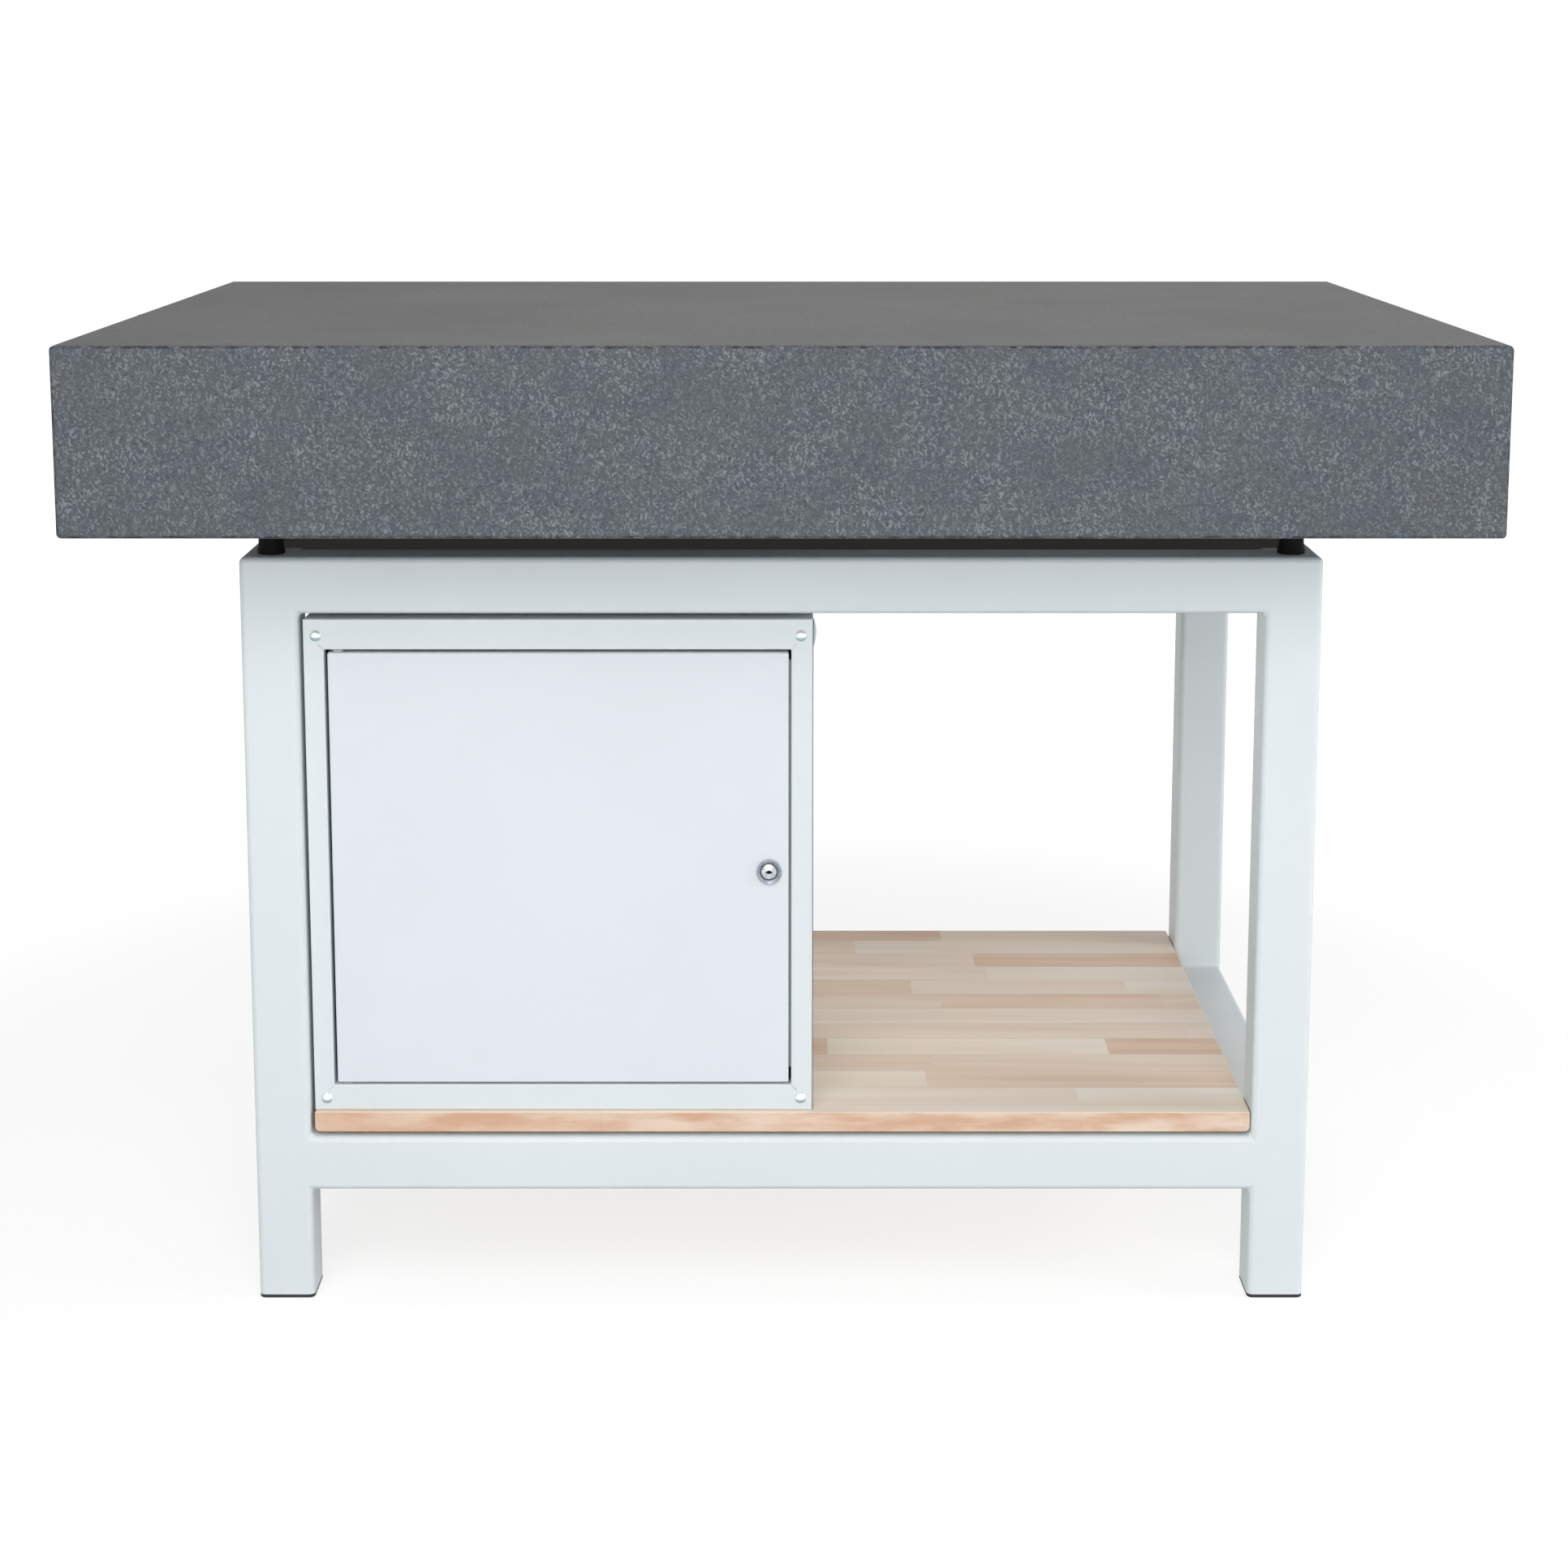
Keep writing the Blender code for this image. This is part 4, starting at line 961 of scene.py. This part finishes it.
granite_grain, where, give = new_group("granite grain", {"Contrast": 1.0})
bend = vector_node("SUBTRACT", grain(where, BEND_SCALE, 1.0)["Color"], (0.5, 0.5, 0.5))
bend = node("VectorMath", {0: bend, "Scale": BEND}, operation="SCALE").outputs[0]
bent = vector_node("ADD", where, bend)
pale = 0.0
for size, turn in PALE_CRYSTALS:
    pale = math_node("MAXIMUM", pale, crystals(bent, size, turn, 0.16, 0.40))
dark = crystals(bent, DARK_GRAIN, DARK_TURN, 0.20, 0.45)
fine = cloud(where, FINE_GRAIN, 3.0)
rich = spread(cloud(where, RICH_PATCH), 0.36, 0.62, 0.52, 1.0)
blue = spread(cloud(bent, BLUE_PATCH), 0.45, 0.60)
ground = mix(blue, tint(83, 87, 91), tint(78, 83, 93))
ground = mix(spread(fine, 0.35, 0.68), ground, tint(92, 97, 102))
ground = mix(times(dark, 0.6), ground, tint(60, 63, 68))
shown = times(times(pale, rich), 0.75)
stone = mix(shown, ground, tint(142, 147, 150))
stone = mix(give["Contrast"], tint(93, 97, 101), stone)
height = minus(fine, times(dark, 0.5))
close_group(granite_grain, {"Color": stone, "Height": height, "Gloss": shown})
print("granite nodes:", len(granite_grain.nodes))

# %% [markdown]
# Both granite finishes use the group with other values: the ground sides are a little
# deeper in their grain and colder, and the lapped top is smooth and warmer.

# %% Material helpers and the two granite finishes
TOP_FACE = 0.995
GRANITE_SHADE_PATCH = 0.010
GRANITE_HAZE = 0.21
GRANITE_ROUGH = 0.66


def new_material(name):
    material = bpy.data.materials.new(name)
    material.use_nodes = True
    return material, node("TexCoord", tree=material.node_tree).outputs["Object"]


def feed(material, colour, roughness, relief, depth, strength=1.0, specular=0.5, metallic=0.0):
    """Links what changes over the surface, and sets the rest on the shader itself."""
    sockets = material.node_tree.nodes["Principled BSDF"].inputs
    inputs = {"Height": relief, "Distance": depth, "Strength": strength}
    link(node("Bump", inputs).outputs[0], sockets["Normal"])
    link(colour, sockets["Base Color"])
    link(roughness, sockets["Roughness"])
    sockets["Specular IOR Level"].default_value = specular
    sockets["Metallic"].default_value = metallic
    return material


def make_granite(name, contrast, warmth, relief, specular):
    material, where = new_material(name)
    stone = use_group(granite_grain, {"Vector": where, "Contrast": contrast})
    edge_patches = use_group(edge_wear_and_shade, {"Vector": where, "Size": GRANITE_SHADE_PATCH})["Mask"]
    colour = mix(1.0, stone["Color"], warmth, "MULTIPLY")
    # Painted shade: a broken dark line along the stone's rounded edges.
    colour = mix(edge_patches, colour, tint(36, 35, 35))
    swing = 0.05 * contrast
    level = spread(cloud(where, GRANITE_HAZE), 0.3, 0.7, GRANITE_ROUGH - swing, GRANITE_ROUGH + swing)
    level = minus(level, times(stone["Gloss"], 0.08))
    return feed(material, colour, level, stone["Height"], relief, specular=specular)


granite_side = make_granite("ground_granite", 1.0, tint(255, 255, 255), 0.00010, 0.22)
granite_top = make_granite("lapped_granite", 0.32, tint(255, 245, 233), 0.00002, 0.20)
for material in (granite_side, granite_top):
    granite_slab.data.materials.append(material)
for face in granite_slab.data.polygons:
    face.material_index = 1 if face.normal.z > TOP_FACE else 0
print("top faces:", sum(face.material_index for face in granite_slab.data.polygons))

# %% [markdown]
# ## Powder coat
# The paint is baked powder: a light grey skin with the faint ripple of orange peel, soft
# clouds in its gloss, and a slightly paler line along the edges, where it drew back as it
# melted. Two noises make the ripple, less than a tenth of a millimetre deep.

# %% Powder coat
PEEL = 0.0021
RIPPLE = 0.0065
GLOSS_CLOUD = 0.16
SPECKS_PER_METRE = 260.0
COAT_WEAR = 0.012


def make_powder_coat(name, base, rough):
    material, where = new_material(name)
    skin = use_group(powder_skin, {"Vector": where})
    edge_patches = use_group(edge_wear_and_shade, {"Vector": where, "Size": COAT_WEAR})["Mask"]
    darker_tone = (*(part * 0.98 for part in base[:3]), 1.0)
    lifted = (*(min(part * 1.05, 0.9) for part in base[:3]), 1.0)
    colour = mix(spread(skin["Cloud"], 0.35, 0.65), darker_tone, base)
    colour = mix(times(skin["Speck"], 0.06), colour, tint(150, 154, 156))
    colour = mix(times(edge_patches, 0.6), colour, lifted)
    level = spread(skin["Cloud"], 0.3, 0.7, rough + 0.05, rough - 0.04)
    return feed(material, colour, level, skin["Height"], 0.00005, 0.6, specular=0.45)


powder_skin, where, _ = new_group("powder skin", {})
height = math_node("ADD", cloud(where, PEEL, 1.0), cloud(where, RIPPLE, 1.0))
specks = spread(cells(where, SPECKS_PER_METRE)["Distance"], 0.05, 0.12, 1.0, 0.0)
close_group(powder_skin, {"Height": height, "Cloud": cloud(where, GLOSS_CLOUD, 3.0), "Speck": specks})
coat_grey = tint(225, 233, 236)
powder_coat = make_powder_coat("powder_coat", coat_grey, 0.42)
door_coat = make_powder_coat("door_coat", tint(227, 232, 238), 0.40)
print("powder coat:", [round(part, 3) for part in coat_grey[:3]])

# %% [markdown]
# ## Beech
# Beech is pale to pinkish, with long soft streaks, fine fibres and the short dark flecks
# of its rays. The grain runs along X, so its noises are stretched that way, and each
# stave shifts them by its own number, so the grain breaks at every joint. The oil has
# darkened the board's rim in patches.

# %% Beech
STREAK = (0.32, 0.030, 0.030)
FIBRE = (0.05, 0.0012, 0.0012)
FLECK = (0.0055, 0.0011, 0.0011)
OIL_PATCH = (0.07, 0.03, 0.016)


def glue_lines(where):
    """1 along the glue lines between the rows of staves, 0 elsewhere."""
    y = node("SeparateXYZ", {0: where}).outputs[1]
    row = math_node("DIVIDE", minus(y, first_end), ROW_WIDTH)
    share = math_node("FRACT", math_node("ADD", row, 10.5))
    off = math_node("ABSOLUTE", minus(share, 0.5))
    return spread(off, 0.003, 0.012, 1.0, 0.0)


beech, where = new_material("beech_staves")
tone = spread(attribute(where, "stave_tone"), -0.15, 1.25)
seed = attribute(where, "stave_seed")
shift = node("CombineXYZ", {0: times(seed, 7.0), 1: seed, 2: times(seed, 3.0)})
place = vector_node("ADD", where, shift.outputs[0])
streak = grain(stretched(place, STREAK), detail=1.0, Distortion=0.6)[0]
fibre = grain(stretched(place, FIBRE))[0]
fleck = spread(cells(stretched(place, FLECK))["Distance"], 0.10, 0.26, 1.0, 0.0)
pale = mix(tone, tint(250, 240, 226), tint(233, 197, 169))
deep = mix(tone, tint(246, 229, 209), tint(218, 175, 146))
colour = mix(spread(streak, 0.32, 0.74), pale, deep)
colour = mix(times(spread(fibre, 0.45, 0.75), 0.12), colour, deep)
oiled = grain(stretched(where, OIL_PATCH), detail=3.0)[0]
oiled = spread(oiled, 0.36, 0.66, 0.40, 0.98)
colour = mix(times(attribute(where, "board_rim"), oiled), colour, tint(214, 171, 141))
colour = mix(times(fleck, 0.12), colour, tint(170, 126, 98))
glue = glue_lines(where)
colour = mix(times(glue, 0.35), colour, tint(150, 110, 84))
level = spread(fibre, 0.3, 0.7, 0.50, 0.62)
feed(beech, colour, level, minus(fibre, glue), 0.00008, 0.7, specular=0.35)
stave_board.data.materials.append(beech)
print("beech nodes:", len(beech.node_tree.nodes))

# %% [markdown]
# ## Rubber, plastics and metals
# The pads are matt rubber, the foot caps moulded plastic, the nut, cam and studs zinc
# plated, and the pins drawn steel. One recipe with blooms of a given size serves them
# all, because they differ only in its values.

# %% Mottled finishes
def make_mottled(name, dark, light, rough, size, relief=0.00001, metallic=0.0, specular=0.5):
    material, where = new_material(name)
    parts = use_group(mottle, {"Vector": where, "Size": size})
    colour = mix(spread(parts["Coarse"], 0.35, 0.65), tint(*dark), tint(*light))
    level = spread(parts["Coarse"], 0.3, 0.7, rough - 0.06, rough + 0.06)
    return feed(material, colour, level, parts["Fine"], relief, specular=specular, metallic=metallic)


mottle, where, give = new_group("mottle", {"Size": 0.002})
scale = math_node("DIVIDE", 1.0, give["Size"])
fine = grain(where, times(scale, 9.0))[0]
close_group(mottle, {"Coarse": grain(where, scale)[0], "Fine": fine})
rubber = make_mottled("black_rubber", (8, 8, 9), (17, 17, 18), 0.78, 0.006, 0.00003, specular=0.2)
cap_plastic = make_mottled("cap_plastic", (20, 21, 23), (30, 31, 33), 0.52, 0.003, 0.00003)
nylon = make_mottled("natural_nylon", (160, 160, 156), (176, 176, 171), 0.46, 0.003)
zinc = make_mottled("zinc_plate", (158, 162, 164), (192, 194, 192), 0.36, 0.0028, metallic=1.0)
drawn_steel = make_mottled("drawn_steel", (138, 138, 136), (166, 166, 163), 0.32, 0.0008, metallic=1.0)
# Painted shade for the key slot and the hollow before it.
keyway = make_mottled("keyway_painted_shade", (58, 61, 66), (74, 78, 84), 0.55, 0.001)
print("mottle nodes:", len(mottle.nodes))

# %% [markdown]
# The lock was turned and then nickel plated, so it keeps the fine rings of the tool. They
# follow the distance from the lock's axis, and so does the painted shade in the gap round the plug.

# %% Turned nickel
LOCK_GAP = 0.00735
GAP_SHADE_WIDTH = 0.0016
RINGS_PER_METRE = 9000.0
NICKEL_SMEAR = 0.0030


def make_nickel(name, light, dark, rough):
    """Plated metal with fine rings round the lock's axis, which runs along Y."""
    material, where = new_material(name)
    from_axis = vector_node("SUBTRACT", where, tuple(lock_face))
    parts = node("SeparateXYZ", {0: from_axis}).outputs
    radius = length_of(node("CombineXYZ", {0: parts[0], 2: parts[2]}).outputs[0])
    inputs = {"W": times(radius, RINGS_PER_METRE), "Scale": 1.0, "Detail": 2.0}
    rings = node("TexNoise", inputs, noise_dimensions="1D").outputs[0]
    colour = mix(spread(cloud(where, NICKEL_SMEAR), 0.35, 0.7), light, dark)
    from_gap = math_node("ABSOLUTE", minus(radius, LOCK_GAP))
    # Painted shade: a dark ring in the gap between the plug and the dished ring.
    gap_shade = spread(from_gap, 0.0, GAP_SHADE_WIDTH, 0.85, 0.0)
    colour = mix(gap_shade, colour, tint(70, 72, 76))
    level = spread(rings, 0.3, 0.7, rough - 0.06, rough + 0.06)
    return feed(material, colour, level, rings, 0.000008, metallic=0.9)


nickel = make_nickel("turned_nickel", tint(212, 214, 220), tint(184, 188, 194), 0.24)
# Painted reflection: a darker copy of the plug's nickel gives the dished ring a dark reflection.
nickel_painted_reflection = make_nickel("nickel_painted_reflection", tint(154, 162, 172), tint(130, 138, 150), 0.36)
print("nickel nodes:", len(nickel.node_tree.nodes))

# %% [markdown]
# The lower half of each rivet's head, the cabinet's right edge and the tubes' undersides
# lie in more shade on the real object than in this even studio, so shade is painted into
# their colour. A tint follows the faces marked as shaded, so it stays with the object and
# not with the camera.

# %% Finishes with painted shade
def shade_finish(material, start, full, shadow):
    """Paints shade into a finish: a tint where its faces lean from start to full in the marked direction.
    """
    colour = material.node_tree.nodes["Principled BSDF"].inputs["Base Color"]
    lean = spread(attribute(colour, "shaded"), start, full)
    link(mix(lean, colour.links[0].from_socket, shadow), colour)


rivet_lacquer = make_mottled("rivet_lacquer", (250, 253, 254), (244, 250, 252), 0.34, 0.004, metallic=0.7)
# Painted shade and painted reflection: the lower half of each rivet head is tinted teal-grey.
shade_finish(rivet_lacquer, 0.02, 0.40, tint(165, 196, 202))
frame_coat = make_powder_coat("frame_coat", coat_grey, 0.42)
# Painted shade: the cabinet's right edge is tinted dark.
shade_finish(frame_coat, 0.05, 0.45, tint(84, 88, 97))
stand_coat = make_powder_coat("stand_coat", coat_grey, 0.42)
# Painted shade: the tubes' undersides and lower roundings are tinted darker.
shade_finish(stand_coat, 0.30, 0.95, tint(195, 203, 207))
print("shaded:", [material.name for material in (rivet_lacquer, frame_coat, stand_coat)])

# %% [markdown]
# ## Who wears which finish
# New pieces ride on the body that they belong to. The model's own parts, such as the
# cabinet's body, the hinge pins and the cam, keep their shape and only get a finish.

# %% Finishes and bodies
def wear(piece, material, body=None):
    """Gives a piece its finish and, where it is a new one, the body that it moves with."""
    piece.data.materials.clear()
    piece.data.materials.append(material)
    if body:
        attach(piece, body)


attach(granite_slab, "stand")
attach(stave_board, "stand")
wear(welded_stand, stand_coat, "stand")
wear(cabinet_front, frame_coat, "stand")
wear(door_leaf, door_coat, "door")
for piece in plugs:
    wear(piece, powder_coat, "stand")
for piece in rivets:
    wear(piece, rivet_lacquer, "stand")
for piece in pads:
    wear(piece, rubber, "stand")
wear(lock_barrel, nickel_painted_reflection, "door")
wear(lock_core, nickel, "lock")

finish_of_slot = dict(
    granite=granite_side, powder_coat=powder_coat, black_rubber=rubber, black_plastic=cap_plastic,
    beech=beech, nylon=nylon, bare_steel=drawn_steel, zinc_plate=zinc, chrome=nickel,
)
for part in frame["record"]["subparts"]:
    slot = part["material_slot"]
    wear(frame["nodes"][part["node"]], finish_of_slot[slot])

# %% [markdown]
# The key slot and the hollow before it get painted shade: their faces are found by place
# and get a dark, dull second material, which is simpler than a mask in the nickel.

# %% Key slot
SLOT_MARGIN = 0.00005
SLOT_DEPTH = 0.0022
HOLLOW_RADIUS = 0.0020
HOLLOW_DEPTH = 0.0029

lock_core.data.materials.append(keyway)
for face in lock_core.data.polygons:
    place = face.center - lock_face
    beside = max(abs(place.x) - KEY_LENGTH / 2, abs(place.z) - KEY_WIDTH / 2)
    in_slot = beside < SLOT_MARGIN and place.y > -SLOT_DEPTH
    in_hollow = math.hypot(place.x, place.z) < HOLLOW_RADIUS and -HOLLOW_DEPTH < place.y < 0
    if in_slot or in_hollow:
        face.material_index = 1
print("painted shade faces:", sum(face.material_index for face in lock_core.data.polygons))

# %% [markdown]
# ## Floor, backdrop and light
# The object stands in a white studio. Floor and world show white to the camera and in
# reflections. Soft light meets a pale grey floor, which still darkens under the object.

# %% Floor
FLOOR_SIZE = 16
WHITE = (1.0, 1.0, 1.0, 1.0)
FLOOR_GREY = (0.8, 0.8, 0.8, 1.0)
SHADOW_GREY = (0.34, 0.34, 0.34, 1.0)


def bare_material(name):
    """A material without nodes, for the studio's own things."""
    material, _ = new_material(name)
    material.node_tree.nodes.clear()
    return material, material.node_tree


def seen_directly(tree):
    """1 for camera, mirror and glass rays, 0 for the rays that carry soft light."""
    path = node("LightPath", tree=tree).outputs
    direct = math_node("MAXIMUM", path["Is Camera Ray"], path["Is Glossy Ray"])
    return math_node("MAXIMUM", direct, path["Is Transmission Ray"])


def put_out(factor, plain, shown, kind="OutputMaterial"):
    """Ends a tree in one shader where the factor is 0 and in another where it is 1."""
    made = node("MixShader", {0: factor, 1: plain, 2: shown}).outputs[0]
    link(made, node(kind, tree=made.id_data).inputs["Surface"])


deselect()
bpy.ops.mesh.primitive_plane_add(size=FLOOR_SIZE, location=(0, 0, -0.0002))
floor = bpy.context.object
floor.name = "studio_floor"
floor_material, tree = bare_material("studio_floor")
soft = node("BsdfDiffuse", {"Color": FLOOR_GREY}, tree).outputs[0]
faint = node("BsdfDiffuse", {"Color": SHADOW_GREY}, tree).outputs[0]
away = length_of(node("TexCoord", tree=tree).outputs["Object"])
level = spread(away, 0.9, 2.2, 0.76, 1.0)
glow = node("Emission", {"Color": WHITE, "Strength": level}, tree).outputs[0]
shown = node("AddShader", {0: faint, 1: glow}).outputs[0]
put_out(seen_directly(tree), soft, shown)
floor.data.materials.append(floor_material)
measure(floor)

# %% [markdown]
# The slit between the plate and the stand is plain dark. It is painted shade: a narrow
# card behind the front rail shows a flat dark colour. Only the camera sees its front
# side, so the card takes no light away and doesn't show from behind.

# %% Painted shade card in the slit
CARD_HEIGHT = 0.018

deselect()
card_place = (0, stand_low.y + tube + 0.004, stand_high.z + 0.001)
bpy.ops.mesh.primitive_plane_add(size=1, location=card_place, rotation=(math.radians(90), 0, 0))
painted_shade_card = bpy.context.object
painted_shade_card.name = "painted_shade_card"
bpy.ops.transform.resize(value=(2 * box_middle("support_pad_front_right").x, 1, CARD_HEIGHT))
bpy.ops.object.transform_apply(location=True, rotation=True, scale=True)
card_material, tree = bare_material("painted_shade_card")
# Painted shade: the card glows in a flat dark colour that only the camera sees.
black = node("Emission", {"Color": tint(42, 41, 39), "Strength": 1.0}, tree).outputs[0]
clear = node("BsdfTransparent", tree=tree).outputs[0]
front_side = minus(1.0, node("NewGeometry", tree=tree).outputs["Backfacing"])
put_out(times(front_side, node("LightPath", tree=tree).outputs["Is Camera Ray"]), clear, black)
painted_shade_card.data.materials.append(card_material)
measure(painted_shade_card)

# %% [markdown]
# Five soft boxes and an even surround light the object. The largest stands in front, one
# higher and one lower even out the fronts, one at the right lights the sides, and a weak
# one stands behind.

# %% World and lamps
SURROUND = 0.32

# Name, place, aim, width, height and watts
SOFT_BOXES = (
    ("front_light", (-0.4, -3.9, 2.5), (0, 0, 0.4), 3.4, 3.0, 70),
    ("high_light", (-0.3, -2.6, 3.6), (0, 0, 0.5), 3.0, 2.0, 23),
    ("low_light", (-0.2, -4.4, 1.1), (0, 0, 0.5), 3.0, 1.6, 28),
    ("side_light", (3.6, -0.7, 1.45), (0, 0, 0.15), 2.0, 1.4, 45),
    ("rear_light", (0.6, 4.0, 3.0), (0, 0, 0.6), 3.0, 2.0, 15),
)

world = bpy.data.worlds.new("studio")
scene.world = world
world.use_nodes = True
tree = world.node_tree
tree.nodes.clear()
surround = node("Background", {"Color": WHITE, "Strength": SURROUND}, tree).outputs[0]
white = node("Background", {"Color": WHITE, "Strength": 1.0}, tree).outputs[0]
put_out(seen_directly(tree), surround, white, "OutputWorld")

for name, place, aim, width, height, power in SOFT_BOXES:
    lamp = bpy.data.lights.new(name, "AREA")
    lamp.shape = "RECTANGLE"
    lamp.size = width
    lamp.size_y = height
    lamp.energy = power
    box = bpy.data.objects.new(name, lamp)
    box.location = place
    box.rotation_euler = (Vector(aim) - Vector(place)).to_track_quat("-Z", "Y").to_euler()
    scene.collection.objects.link(box)
print("soft boxes:", len(SOFT_BOXES), "watts:", sum(row[-1] for row in SOFT_BOXES))

# %% [markdown]
# ## The end
# The last line leaves edit mode and lets go of every object.

# %% Finish
deselect()
